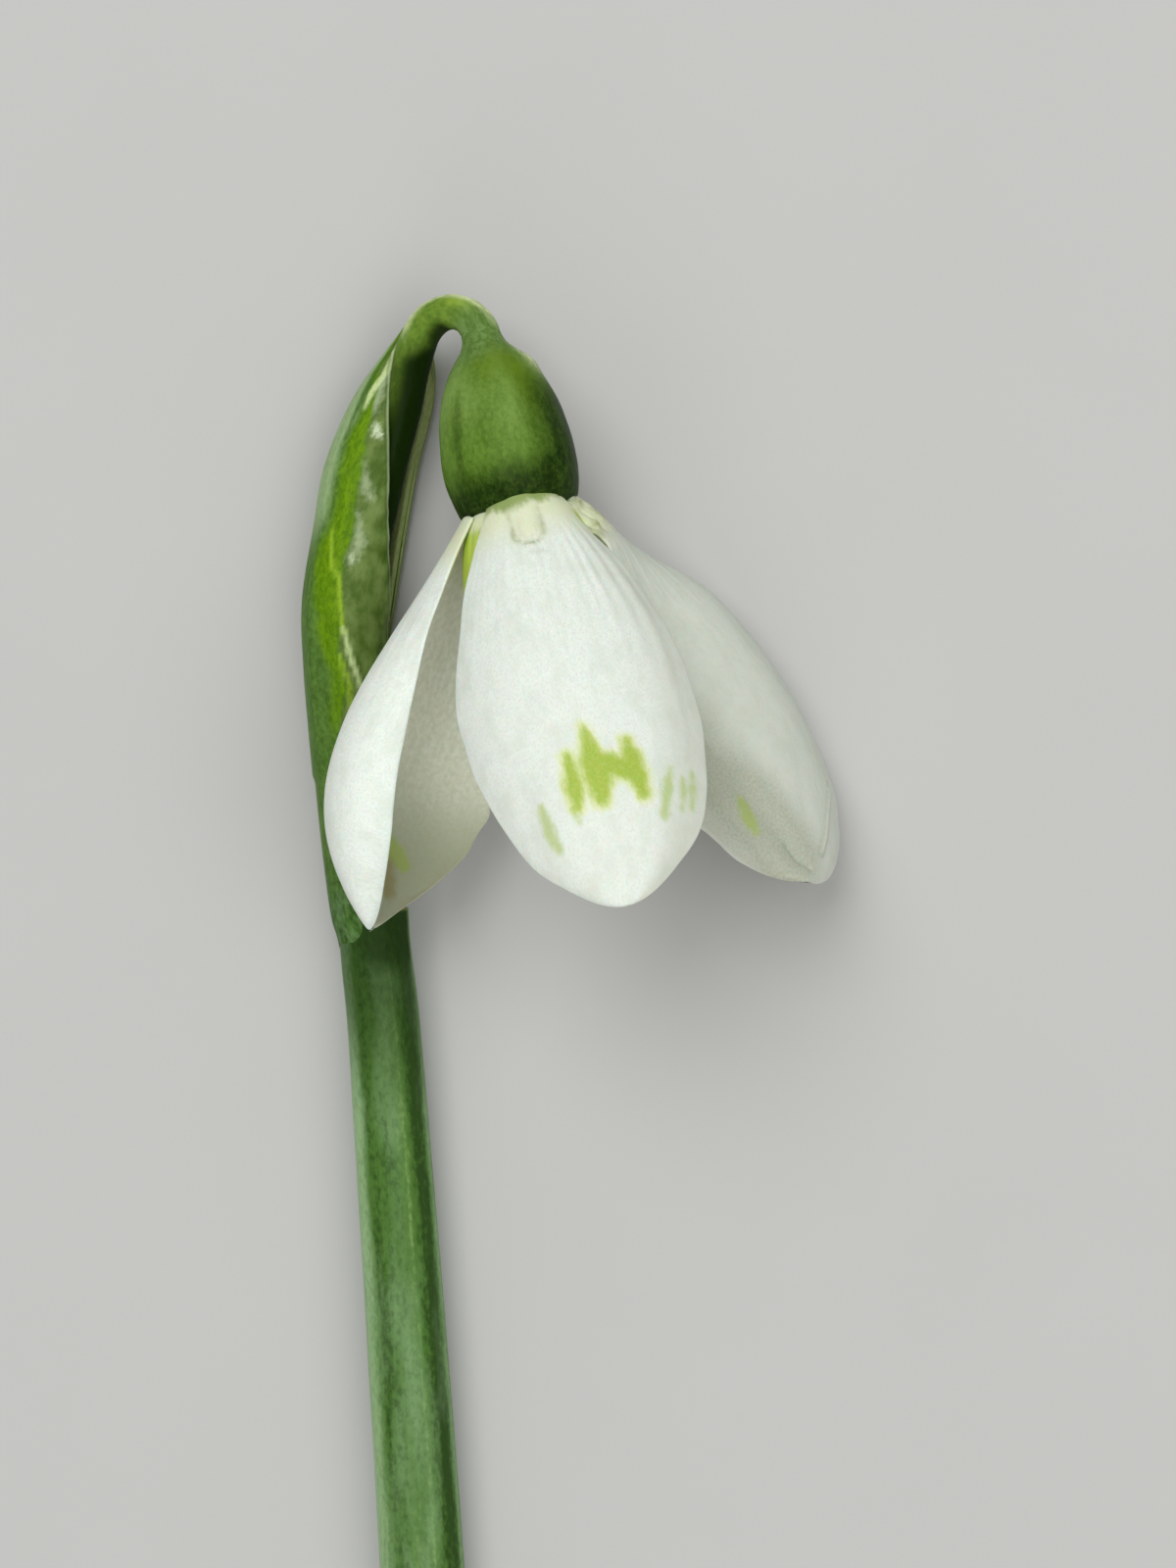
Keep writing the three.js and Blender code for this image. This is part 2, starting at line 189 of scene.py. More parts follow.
# Green marks. Each stroke is a chain of points: along the petal, across it, and the stroke's radius.
FRONT_STROKES = [
    [(16.3, -0.07, 0.16), (17.4, 0.03, 0.42), (18.5, 0.06, 0.78), (19.6, 0.1, 0.76), (20.6, 0.02, 0.46)],
    [(17.8, -1.26, 0.26), (18.6, -1.26, 0.42), (19.7, -1.28, 0.54), (20.7, -1.36, 0.32)],
    [(17.5, 2.08, 0.26), (18.4, 2.16, 0.52), (19.7, 2.24, 0.6), (20.8, 2.36, 0.32)],
    [(18.5, 0.5, 0.6), (18.9, 1.2, 0.68), (19.3, 1.9, 0.62)],
    [(18.4, -0.9, -0.12), (19.4, -0.75, -0.06), (20.2, -0.8, -0.16)],
]
FRONT_FAINT_STROKES = [
    [(20.1, -3.36, 0.18), (21.2, -3.3, 0.32), (22.1, -3.14, 0.36), (22.8, -2.88, 0.26)],
    [(19.3, 4.28, 0.12), (20.3, 3.9, 0.34), (22.1, 3.22, 0.3)],
    [(19.7, 5.6, 0.12), (20.8, 5.3, 0.24), (21.9, 5.0, 0.12)],
    [(20.0, 4.86, 0.1), (21.0, 4.7, 0.2), (21.9, 4.4, 0.1)],
    [(20.9, -1.54, 0.18), (21.7, -1.46, 0.1)],
]
RIGHT_FAINT_STROKES = [
    [(21.4, -3.7, 0.24), (22.6, -3.42, 0.44), (23.7, -3.06, 0.26)],
]
LEFT_INSIDE_STROKES = [
    [(19.8, -3.3, 0.4), (20.8, -3.7, 0.66), (21.9, -4.1, 0.46)],
]
LEFT_INSIDE_STAINS = [
    [(21.6, -3.0, 0.4), (22.6, -2.6, 0.66), (23.6, -2.4, 0.4)],
]

# The depth that a place counts as where no stroke reaches it.
OUTSIDE = -9.0
# How much less of a mark shows through on a petal's other face.
SHOW_THROUGH = 0.5

# Creases of the right petal, as chains of points like the strokes, with a half width of 0.
RIGHT_VALLEY = [[
    (15, -5.0, 0), (18.8, -4.1, 0), (20.4, -3.6, 0), (22.2, -2.7, 0), (24.3, -1.4, 0), (25.4, -0.6, 0),
]]
RIGHT_FOLD = [[(24.6, -1.2, 0), (25.4, -0.6, 0), (26.0, 0.3, 0)]]
RIGHT_LIP = [[(21.2, 3.9, 0), (22.9, 2.6, 0), (24.1, 2.0, 0), (25.0, 1.4, 0)]]
# Their depths or height and half widths, and the height of the lumps on the petal's shoulder.
VALLEY_DEPTH, VALLEY_WIDTH = 0.3, 0.75
FOLD_DEPTH, FOLD_WIDTH = 0.2, 0.16
LIP_HEIGHT, LIP_WIDTH = 0.14, 0.2
SHOULDER_LUMPS = 0.26
# The lump at the foot of the front petal: its place along and across, radius and height. A green line
# runs round it, a smaller one lies inside it, and a third crosses the petal beyond it.
LUMP_CENTRE, LUMP_RADIUS, LUMP_HEIGHT = (2.75, -0.2), 0.82, 0.09
RING_RADIUS, RING_WIDTH = 0.86, 0.17
INNER_RING_RADIUS, INNER_RING_WIDTH = 0.45, 0.12
CROSS_LINE_PLACE, CROSS_LINE_WIDTH = 4.3, 0.22

# Relief of every petal: height, breadth and length of its waves, its fine waves and its margin's waves.
WAVE_HEIGHT, WAVE_BREADTH, WAVE_LENGTH = 0.05, 1.9, 4.5
FINE_HEIGHT, FINE_BREADTH, FINE_LENGTH = 0.012, 0.45, 1.4
MARGIN_HEIGHT, MARGIN_LENGTH = 0.1, 2.3
INNER_WAVE_HEIGHT = 0.02

# Shares of a petal's length: where its nub starts, where the nub's round end starts, how far the lap
# reaches, and where the swells have run out. Rows stand evenly for one share, and for the rest closer
# together towards both ends.
NUB_START, NUB_ROUND, LAP_REACH, SWELLS_END = 0.93, 0.975, 0.15, 0.95
EVEN_ROWS = 0.35
MARGIN_ROUNDING, END_ROUNDING = 0.025, 0.012
# Round ends stop just short of closing, so that no edge has a length of nothing.
NUB_CLOSING, EDGE_CLOSING = 0.995, 0.97
# The two faces of a thin piece lie this far apart in its grain, so that one doesn't repeat the other.
FACE_GAP = 7.0

# The notch at an inner petal's tip, and the mark round it.
NOTCH_DEPTH, NOTCH_WIDTH = 0.9, 0.3
INNER_STROKES = [
    [(8.6, -1.5, 0.35), (9.6, -0.9, 0.5), (9.7, 0, 0.45), (9.6, 0.9, 0.5), (8.6, 1.5, 0.35)],
]

# How tubes end: the share of their radius and how far beyond the end, from the rim inwards.
CUT_END = [(0.985, 0.0), (0.95, 0.02), (0.86, 0.0), (0.6, -0.04), (0.3, -0.1), (0.02, -0.12)]
ROUND_END = [(0.985, 0.04), (0.9, 0.1), (0.72, 0.16), (0.4, 0.2), (0.05, 0.21)]
# How far the cut face reaches from its middle, measured over the skin, and how soft its edge is.
CUT_REACH, CUT_FADE = 2.75, 0.3
# The pale collar round the stem's top: its height on the stem and its half width.
COLLAR_PLACE, COLLAR_WIDTH = 0.3, 0.14
# Uneven thickness of the stem and the stalk, and the ridges round the stalk: their height and number.
STEM_WANDER, STALK_WANDER = 0.02, 0.03
STALK_RIDGE, STALK_RIDGES = 0.03, 5
# The middle of the stalk's bend.
BEND_CENTRE = (4.7, 32.6, 0.0)
# Depths of the ovary's dents, broad and fine.
OVARY_DENTS, OVARY_FINE_DENTS = 0.05, 0.02
# Soft patches on the ovary: turn from the front in degrees, its width, distance along the axis, its width,
# and the patch's strength. The bulge of its right shoulder is one too, with a height for its strength.
# The pale patches are partly waxy bloom and partly painted highlight on the side that faces the light. The
# edge patch is partly bloom and partly painted highlight on the right shoulder.
OVARY_PALE_PATCHES = [
    (-47, 13, -7.6, 1.3, 0.9), (-27, 14, -6.0, 1.6, 0.9), (10, 13, -5.0, 2.8, 0.8), (-66, 17, -6.1, 2.0, 0.9),
]
OVARY_OLIVE_PATCHES = [(12, 34, -8.2, 1.3, 1.0), (34, 14, -6.2, 1.6, 0.8)]
OVARY_EDGE_PATCHES = [(70, 13, -8.3, 1.0, 1.0)]
OVARY_BULGES = [(84, 26, -8.3, 0.7, 0.24)]
# The furrow down the ovary's left side, which is only painted, as a line of shade: its turn where it
# starts, how that changes along it, and its width.
FURROW_TURN, FURROW_DRIFT, FURROW_WIDTH = -43, -1.5, 5

# The yellow-green flank of the sheath: height, and the turns from the keel where it starts and stops.
SHEATH_FLANK = [
    (11, 66, 80), (12.2, 68, 86), (13.4, 73, 92), (14.5, 72, 90), (15.7, 61, 85), (17.4, 50, 83),
    (18.6, 48, 83), (19.7, 46, 82), (20.9, 42, 80), (22.0, 43, 82), (23.2, 52, 81), (25.5, 54, 82),
    (26.7, 53, 78), (27.8, 50, 75), (29.0, 56, 71), (30.5, 50, 60), (32, 40, 48),
]
# How many degrees the flank's borders wander, broadly and finely.
FLANK_WOBBLE, FINE_FLANK_WOBBLE = 4, 3
# Lines on the sheath: height, and the arc from the keel in millimetres, with a half width.
SHEATH_BRIGHT_LINES = [
    [
        (22.6, 2.9, 0.05), (21.4, 3.05, 0.1), (20.4, 3.3, 0.1), (19.7, 3.85, 0.09), (18.3, 4.05, 0.12),
        (16.5, 4.2, 0.1),
    ],
    [(15.2, 3.8, 0.05), (14.5, 3.95, 0.1), (13.4, 4.2, 0.1), (11.9, 4.1, 0.05)],
]
# The pale lines are raised, and their pale tone is partly painted highlight.
SHEATH_PALE_LINES = [
    [(16.8, 4.2, 0.06), (15.1, 4.45, 0.12), (14.0, 4.75, 0.12), (13.0, 4.85, 0.06)],
    [(33.2, 1.6, 0.2), (31.9, 2.3, 0.22), (30.9, 2.35, 0.2), (29.8, 2.6, 0.06)],
]
# Whitish painted highlights on raised blisters in the sheath's thin skin, and duller painted highlights
# on the streaks between them.
SHEATH_BLISTERS = [
    [(28.7, 3.8, 0.1), (28.4, 4.1, 0.22), (28.1, 4.4, 0.16)],
    [(21.1, 4.45, 0.02), (20.8, 4.5, 0.1)],
]
SHEATH_STREAKS = [
    [(31.5, 2.6, 0.06), (30.3, 3.0, 0.14), (29.4, 3.3, 0.08)],
    [(26.4, 3.8, 0.04), (25.4, 4.4, 0.12), (24.4, 4.9, 0.02)],
    [(23.4, 4.3, 0.04), (21.8, 4.7, 0.2), (20.7, 4.4, 0.12)],
]
SHEATH_GROOVES = [
    [(33.0, 1.1, 0.04), (31.5, 1.65, 0.09), (29.9, 1.95, 0.1), (28.0, 2.2, 0.06)],
]
# Relief of the sheath: heights of blisters, streaks and lines, depth of grooves, and heights of the coarse
# and fine crumples of its thin skin.
BLISTER_HEIGHT, STREAK_HEIGHT, LINE_HEIGHT, GROOVE_DEPTH = 0.06, 0.04, 0.04, 0.06
CRUMPLE, FINE_CRUMPLE = 0.1, 0.05
# Its soft ribs, down each flank and along the keel: their height, and the turn and width of those on the
# flanks in degrees, and of the one on the keel in radians.
FLANK_RIB, FLANK_RIB_TURN, FLANK_RIB_WIDTH = 0.1, 40, 8
KEEL_RIB, KEEL_RIB_WIDTH = 0.12, 0.9
# Two lines along the sheath's near edge: how far in they lie, and their half widths.
SEAM_PLACE, SEAM_WIDTH = 0.22, 0.06
EDGE_LINE_PLACE, EDGE_LINE_WIDTH = 0.08, 0.07

# Seeds of the uneven relief, one for each place that has it.
FRONT_SEED, LEFT_SEED, RIGHT_SEED, INNER_SEED = 3, 11, 17, 40
SHOULDER_SEED, RING_SEED, EDGE_SEED = 23, 27, 29
WOBBLE_SEED, FINE_WOBBLE_SEED, CRUMPLE_SEED, FINE_CRUMPLE_SEED = 61, 62, 65, 66
STEM_SEED, STALK_SEED, DENTS_SEED, FINE_DENTS_SEED = 51, 71, 81, 82

# Places round the stem, in degrees from the side that faces up: the share of its pale tone, and of bloom.
# Near both edges, as seen from above, these are partly painted highlight and sheen. The dark bands are
# partly painted shade, darkest on the right side, and partly the stem's own banding.
STEM_BANDS = [
    (-180, 0.45, 0.3), (-120, 0.5, 0.4), (-90, 0.85, 0.85), (-72, 0.95, 0.95), (-60, 0.9, 0.8),
    (-50, 0.68, 0.52), (-43, 0.5, 0.18), (-36, 0.3, 0.0), (-25, 0.3, 0.02), (-10, 0.38, 0.14),
    (5, 0.44, 0.2), (17, 0.5, 0.15), (21, 0.76, 0.15), (26, 0.5, 0.1), (34, 0.26, 0.06), (42, 0.06, 0.0),
    (58, 0.04, 0.04), (65, 0.2, 0.15), (72, 0.6, 0.5), (80, 0.55, 0.45), (90, 0.4, 0.35), (120, 0.45, 0.3),
    (180, 0.45, 0.3),
]


# ---- Numbers ----------------------------------------------------------------------------------------
LUMP_TABLE = 64


def ease(x):
    """0 below 0, 1 above 1, and level at both ends."""
    x = np.clip(x, 0.0, 1.0)
    return x * x * (3 - 2 * x)


def rise(x, low, high):
    """Goes from 0 at low to 1 at high."""
    return ease((x - low) / (high - low))


def fall(x, low, high):
    """Goes from 1 at low to 0 at high."""
    return rise(-x, -high, -low)


def bell(x, centre, width):
    """1 at its centre, and nearly 0 from two widths away."""
    return np.exp(-(((x - centre) / width) ** 2))


def unit(vectors):
    return vectors / np.linalg.norm(vectors, axis=-1, keepdims=True)


def bezier(points, t):
    a, b, c, d = np.array(points, float)
    t = t[:, None]
    place = (1 - t) ** 3 * a + 3 * (1 - t) ** 2 * t * b + 3 * (1 - t) * t**2 * c + t**3 * d
    slope = (1 - t) ** 2 * (b - a) + 2 * (1 - t) * t * (c - b) + t**2 * (d - c)
    return place, unit(slope)


def smooth_line(points, t):
    """A smooth line through the points. t counts points, from 0 to the last one."""
    points = np.array(points, float)
    padded = np.vstack([2 * points[0] - points[1], points, 2 * points[-1] - points[-2]])
    i = np.clip(t.astype(int), 0, len(points) - 2)
    f = (t - i)[:, None]
    a, b, c, d = padded[i], padded[i + 1], padded[i + 2], padded[i + 3]
    return (2 * b + (c - a) * f + (2 * a - 5 * b + 4 * c - d) * f**2 + (3 * b - a - 3 * c + d) * f**3) / 2


def lumps(x, y, seed):
    """Smooth uneven relief from -1 to 1, with about one lump to each unit of x and of y.

    It repeats after LUMP_TABLE units. Where a caller adds a whole number, that only picks other lumps.
    """
    table = np.random.default_rng(seed).uniform(-1, 1, (LUMP_TABLE, LUMP_TABLE))
    i, j = np.floor(x).astype(int), np.floor(y).astype(int)
    fx, fy = ease(x - i), ease(y - j)

    def corner(di, dj):
        return table[(i + di) % LUMP_TABLE, (j + dj) % LUMP_TABLE]

    near = corner(0, 0) * (1 - fx) + corner(1, 0) * fx
    far = corner(0, 1) * (1 - fx) + corner(1, 1) * fx
    return near * (1 - fy) + far * fy


def stroke_depth(strokes, along, across):
    """How deep each place lies inside the nearest stroke, in millimetres. Outside it is negative."""
    depth = np.full(along.shape, OUTSIDE)
    for stroke in strokes:
        for (a0, c0, r0), (a1, c1, r1) in zip(stroke, stroke[1:]):
            length2 = (a1 - a0) ** 2 + (c1 - c0) ** 2
            t = np.clip(((along - a0) * (a1 - a0) + (across - c0) * (c1 - c0)) / length2, 0, 1)
            gap = np.hypot(along - a0 - t * (a1 - a0), across - c0 - t * (c1 - c0))
            depth = np.maximum(depth, r0 + (r1 - r0) * t - gap)
    return depth


# ---- Meshes -----------------------------------------------------------------------------------------
# On the flat layout the sides take up this share of the height, and the two caps a strip above them.
SIDE_SHARE, CAP_LOW, CAP_HIGH, CAP_SPLIT, CAP_END = 0.9, 0.93, 0.99, 0.48, 0.52


def grid_places(rings):
    """Where each row and each place of a lofted piece falls on its flat layout, from 0 to 1."""
    rows = np.linalg.norm(np.diff(rings, axis=0), axis=-1).mean(axis=1) + 1e-4
    widest = rings[len(rings) // 2]
    across = np.linalg.norm(np.roll(widest, -1, axis=0) - widest, axis=-1) + 1e-3
    return np.append(0, np.cumsum(rows)) / rows.sum(), np.append(0, np.cumsum(across)) / across.sum()


def loft(rings):
    """The quads that join closed rings into one solid, and their corners on the flat layout."""
    count, n = rings.shape[:2]
    index = np.arange(count * n).reshape(count, n)
    turned = np.roll(index, -1, axis=1)
    sides = np.stack([index[:-1], turned[:-1], turned[1:], index[1:]], axis=-1).reshape(-1, 4)
    u, v = grid_places(rings)
    v = v * SIDE_SHARE
    left, right = np.broadcast_to(v[:-1], (count - 1, n)), np.broadcast_to(v[1:], (count - 1, n))
    low = np.broadcast_to(u[:-1, None], (count - 1, n))
    high = np.broadcast_to(u[1:, None], (count - 1, n))
    corners = [(low, left), (low, right), (high, right), (high, left)]
    layout = np.stack([np.stack(c, axis=-1) for c in corners], axis=2).reshape(-1, 4, 2)

    j = np.arange(n // 2 - 1)
    first = np.stack([n - 1 - j, n - 2 - j, j + 1, j], axis=-1)
    last = first[:, ::-1] + (count - 1) * n
    step = j / len(j), (j + 1) / len(j)
    cap = np.array([[(a, CAP_HIGH), (b, CAP_HIGH), (b, CAP_LOW), (a, CAP_LOW)] for a, b in zip(*step)])
    start_cap = cap * (CAP_SPLIT, 1)
    end_cap = (cap * (CAP_SPLIT, 1) + (CAP_END, 0))[:, ::-1]
    return np.vstack([sides, first, last]), np.vstack([layout, start_cap, end_cap])


def enclosed_volume(points, quads):
    a, b, c, d = (points[quads[:, k]] for k in range(4))
    halves = np.einsum("ij,ij->i", a, np.cross(b, c)) + np.einsum("ij,ij->i", a, np.cross(c, d))
    return halves.sum() / 6


def add_piece(name, node, rings, place, marks, finish):
    """Makes one solid piece from its rings and lets it stand for a plain solid of the model."""
    points = rings.reshape(-1, 3)
    quads, layout = loft(rings)
    if enclosed_volume(points, quads) < 0:
        quads, layout = quads[:, ::-1], layout[:, ::-1]
    place = np.array(place)
    placed = points @ place[:3, :3].T + place[:3, 3]
    mesh = bpy.data.meshes.new(name)
    mesh.from_pydata(placed.tolist(), [], quads.tolist())
    mesh.uv_layers.new(name="OFBake").data.foreach_set("uv", layout.astype(np.float32).ravel())
    for key, value in marks.items():
        kind, field = ("FLOAT", "value") if value.ndim == 2 else ("FLOAT_VECTOR", "vector")
        attribute = mesh.attributes.new(key, kind, "POINT")
        attribute.data.foreach_set(field, value.astype(np.float32).ravel())
    mesh.shade_smooth()
    mesh.materials.append(finish)
    piece = bpy.data.objects.new(name, mesh)
    bpy.context.scene.collection.objects.link(piece)
    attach(piece, "root")
    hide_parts(node)


def faces(outer, inner=0.0):
    """A value for the outer face of a thin blade and one for its inner face, in the order of its rings."""
    return np.concatenate([outer, np.broadcast_to(inner, outer.shape)[:, ::-1]], axis=1)


def both_faces(values):
    return faces(values, values)


def shell_rings(skin, normal, wall, roundness):
    """Closed rings of a thin blade: its outer skin, and its inner skin a wall's thickness behind."""
    middle = skin - normal * (wall / 2)[..., None]
    half = normal * (wall / 2 * roundness)[..., None]
    return faces(middle + half, middle - half)


def rounded(x, reach):
    """1 inside, falling in a quarter circle to nearly 0 where x comes within reach of -1 or 1."""
    over = np.clip((np.abs(x) - (1 - reach)) / reach, 0, EDGE_CLOSING)
    return np.sqrt(1 - over**2)


def places_round(count):
    """The turns of so many places round a piece, from the back round to the back, in radians."""
    return ((np.arange(count) + 0.5) / count * 2 * np.pi - np.pi)[None, :]


def tube(line, radii, rows, places, start, end):
    """Rings of a round stem along a smooth line, with how far along and round each point is.

    start and end close it: rings of (share of the radius, distance beyond the end), rim first.
    """
    start = start[::-1]
    t = np.linspace(0, len(line) - 1, rows)
    centre = smooth_line(line, t)
    radius = smooth_line(np.array(radii)[:, None], t)[:, 0]
    tangent = unit(np.gradient(centre, axis=0))
    up = np.array([0, 0, 1.0])
    normals = [unit(up - tangent[0] * tangent[0][2])]
    for direction in tangent[1:]:
        carried = normals[-1] - direction * np.dot(normals[-1], direction)
        normals.append(unit(carried))
    normal = np.array(normals)
    row = np.array([0] * len(start) + list(range(rows)) + [rows - 1] * len(end))
    share = np.array([c[0] for c in start] + [1.0] * rows + [c[0] for c in end])
    beyond = np.array([-c[1] for c in start] + [0.0] * rows + [c[1] for c in end])
    centre = centre[row] + tangent[row] * beyond[:, None]
    radius = radius[row] * share
    normal = normal[row]
    binormal = np.cross(tangent[row], normal)
    turn = places_round(places)
    outward = normal[:, None] * np.cos(turn)[..., None] + binormal[:, None] * np.sin(turn)[..., None]
    steps = np.linalg.norm(np.diff(centre, axis=0), axis=-1) + np.abs(np.diff(radius))
    along = np.append(0, np.cumsum(steps))
    return centre[:, None], radius[:, None], outward, along[:, None], turn


# ---- Finishes ---------------------------------------------------------------------------------------
PETAL_BODY = {"Subsurface Weight": 0.25, "Subsurface Scale": 0.6 * MM, "Specular IOR Level": 0.3}
GREEN_BODY = {"Subsurface Weight": 0.06, "Subsurface Scale": 0.5 * MM, "Specular IOR Level": 0.08}
GRAINY_BODY = {"Subsurface Weight": 0.1, "Subsurface Scale": 0.3 * MM}
FLOOR_BODY = {"Specular IOR Level": 0.2, "Roughness": 0.85}
FLOOR_GRAIN = {"Scale": 60.0, "Detail": 3.0}
# Heights of the fine relief of each finish, in millimetres.
PETAL_BUMP, STEM_BUMP, SHEATH_BUMP, STALK_BUMP, OVARY_BUMP, GRAINY_BUMP = 0.045, 0.05, 0.05, 0.04, 0.045, 0.04


def srgb(*values):
    """A colour in Blender's own linear terms, from its everyday 0 to 255 values."""
    return tuple((c / 255 / 12.92) if c <= 10 else ((c / 255 + 0.055) / 1.055) ** 2.4 for c in values)


class Finish:
    """A material being put together. Most methods add nodes and return what the last one puts out."""

    def __init__(self, name, ground, body):
        self.material = bpy.data.materials.new(name)
        self.material.use_nodes = True
        self.tree = self.material.node_tree
        self.shader = self.tree.nodes["Principled BSDF"]
        self.colour = ground
        for socket, value in body.items():
            self.shader.inputs[socket].default_value = value

    def feed(self, socket, value):
        """Gives a socket a number, a colour or what another node puts out."""
        if isinstance(value, bpy.types.NodeSocket):
            self.tree.links.new(value, socket)
        elif socket.type == "RGBA":
            socket.default_value = (*value[:3], 1.0)
        else:
            socket.default_value = value

    def node(self, kind, inputs, output=0, **settings):
        node = self.tree.nodes.new(kind)
        for key, value in settings.items():
            setattr(node, key, value)
        for socket, value in inputs.items():
            self.feed(node.inputs[socket], value)
        return node.outputs[output]

    def amount(self, name):
        """One of the marks that the piece's mesh carries."""
        return self.node("ShaderNodeAttribute", {}, "Fac", attribute_name=name)

    def noise(self, x, y, z, detail, roughness):
        """A pattern in the piece's own grain, with so many lumps to a millimetre each way."""
        place = self.node("ShaderNodeAttribute", {}, "Vector", attribute_name="grain")
        grain = self.node("ShaderNodeVectorMath", {0: place, 1: (x, y, z)}, operation="MULTIPLY")
        inputs = {"Vector": grain, "Scale": 1.0, "Detail": detail, "Roughness": roughness}
        return self.node("ShaderNodeTexNoise", inputs, "Fac")

    def math(self, operation, a, b=0.0, clamp=False):
        return self.node("ShaderNodeMath", {0: a, 1: b}, operation=operation, use_clamp=clamp)

    def sum(self, first, *others):
        for other in others:
            first = self.math("ADD", first, other)
        return first

    def product(self, first, *others):
        for other in others:
            first = self.math("MULTIPLY", first, other)
        return first

    def blend(self, first, share, second):
        """Two patterns in one: a share of the first, and the rest of the second."""
        return self.sum(self.product(first, share), self.product(second, 1 - share))

    def between(self, value, low, high, to_low=0.0, to_high=1.0):
        """Goes smoothly from to_low to to_high while a value goes from low to high."""
        inputs = {"Value": value, "From Min": low, "From Max": high, "To Min": to_low, "To Max": to_high}
        return self.node("ShaderNodeMapRange", inputs, interpolation_type="SMOOTHSTEP")

    def broken(self, name, pattern, low, high, least, most):
        """An amount that a pattern thins out, from least where it is low to most where it is high."""
        return self.product(self.amount(name), self.between(pattern, low, high, least, most))

    def frayed(self, name, uneven, low, high, most=1.0):
        """How much of a mark shows where its edge is frayed by an uneven pattern."""
        return self.between(self.sum(self.amount(name), uneven), low, high, 0.0, most)

    def mix(self, factor, a, b):
        inputs = {0: factor, 6: a, 7: b}
        return self.node("ShaderNodeMix", inputs, 2, data_type="RGBA")

    def flecks(self, pattern, low, high, ground, fleck):
        """Flecks of one colour in another, where a pattern is high."""
        return self.mix(self.between(pattern, low, high), ground, fleck)

    def coat(self, share, colour):
        """Lays a colour over what is there so far."""
        self.colour = self.mix(share, self.colour, colour)

    def bump(self, height, distance):
        """A relief too fine for the mesh, with its height in millimetres."""
        inputs = {"Height": height, "Distance": distance * MM, "Strength": 1.0}
        self.feed(self.shader.inputs["Normal"], self.node("ShaderNodeBump", inputs))

    def done(self, *roughness):
        """The material. Its roughness follows a pattern: where it is low and high, and what it gives."""
        self.feed(self.shader.inputs["Base Color"], self.colour)
        if roughness:
            self.feed(self.shader.inputs["Roughness"], self.between(*roughness))
        return self.material


def petal_finish(name, colours, foot_colour):
    """Matt white with faint cells and clouds, a green foot, green marks, a duller inside and painted shade.
    """
    finish = Finish(name, colours.petal, PETAL_BODY)
    cells = finish.noise(3.2, 1, 2.2, 3.0, 0.6)
    clouds = finish.noise(0.7, 1, 0.45, 3.0, 0.6)
    specks = finish.noise(7.5, 1, 5.0, 2.0, 0.6)
    streaks = finish.noise(2.6, 1, 0.25, 2.0, 0.55)
    finish.coat(finish.between(cells, 0.3, 0.75, 0.0, 0.5), colours.petal_cell)
    finish.coat(finish.between(clouds, 0.42, 0.68, 0.0, 0.55), colours.petal_cloud)
    fan = finish.product(finish.amount("fan"), VEINS_ACROSS * math.pi)
    wave = finish.math("SINE", finish.sum(fan, finish.product(clouds, 3.0)))
    vein = finish.product(finish.between(wave, -1.0, 1.0), finish.amount("veined"))
    finish.coat(finish.product(vein, finish.between(cells, 0.4, 0.7, 0.1, 0.4)), colours.petal_cloud)
    finish.coat(finish.between(specks, 0.42, 0.68, 0.0, 0.6), colours.petal_cloud)

    inside = finish.amount("inside")
    streaked = finish.blend(streaks, 0.25, cells)
    lining = finish.flecks(streaked, 0.35, 0.65, colours.petal_inside, colours.petal_lining)
    finish.coat(finish.product(inside, 0.85), lining)
    # Painted shade over the inner face, deepening towards the tip.
    finish.coat(finish.product(inside, finish.amount("depth")), colours.petal_depth_shade)
    # Painted shade in the creases of a petal and where it turns from the light.
    finish.coat(finish.broken("shade", specks, 0.3, 0.65, 1.08, 0.8), colours.petal_shade)
    finish.coat(finish.broken("tint", cells, 0.25, 0.7, 0.7, 1.0), colours.claw)
    uneven = finish.math("SUBTRACT", finish.noise(2.2, 1, 1.0, 3.0, 0.65), 0.5)
    foot = finish.mix(finish.between(streaks, 0.45, 0.8, 0.0, 0.5), foot_colour, colours.claw_line)
    finish.coat(finish.frayed("glow", finish.product(uneven, 0.5), 0.1, 0.9), foot)
    finish.coat(finish.broken("rim", cells, 0.3, 0.6, 0.35, 1.0), colours.claw_line)
    finish.coat(finish.frayed("foot", finish.product(uneven, 1.1), -0.42, 0.4, 0.8), colours.foot_edge)

    depth = finish.sum(finish.amount("mark"), finish.product(uneven, 0.75))
    halo = finish.product(finish.between(depth, -0.55, 0.1), finish.between(specks, 0.2, 0.55, 0.75, 1.0))
    finish.coat(finish.product(halo, 0.9), colours.mark_pale)
    green = finish.flecks(cells, 0.35, 0.7, colours.mark, colours.mark_deep)
    solid = finish.product(finish.between(depth, -0.26, 0.34), finish.between(specks, 0.25, 0.6, 0.8, 1.0))
    finish.coat(solid, green)
    finish.coat(finish.frayed("faint", finish.product(uneven, 0.7), -0.26, 0.28, 0.6), colours.mark_faint)
    finish.coat(finish.frayed("stain", finish.product(uneven, 0.9), -0.45, 0.4, 0.75), colours.stain)
    relief = finish.sum(finish.product(cells, 0.6), finish.product(vein, 0.15), finish.product(specks, 0.3))
    finish.bump(relief, PETAL_BUMP)
    return finish.done(cells, 0.25, 0.8, 0.5, 0.68)


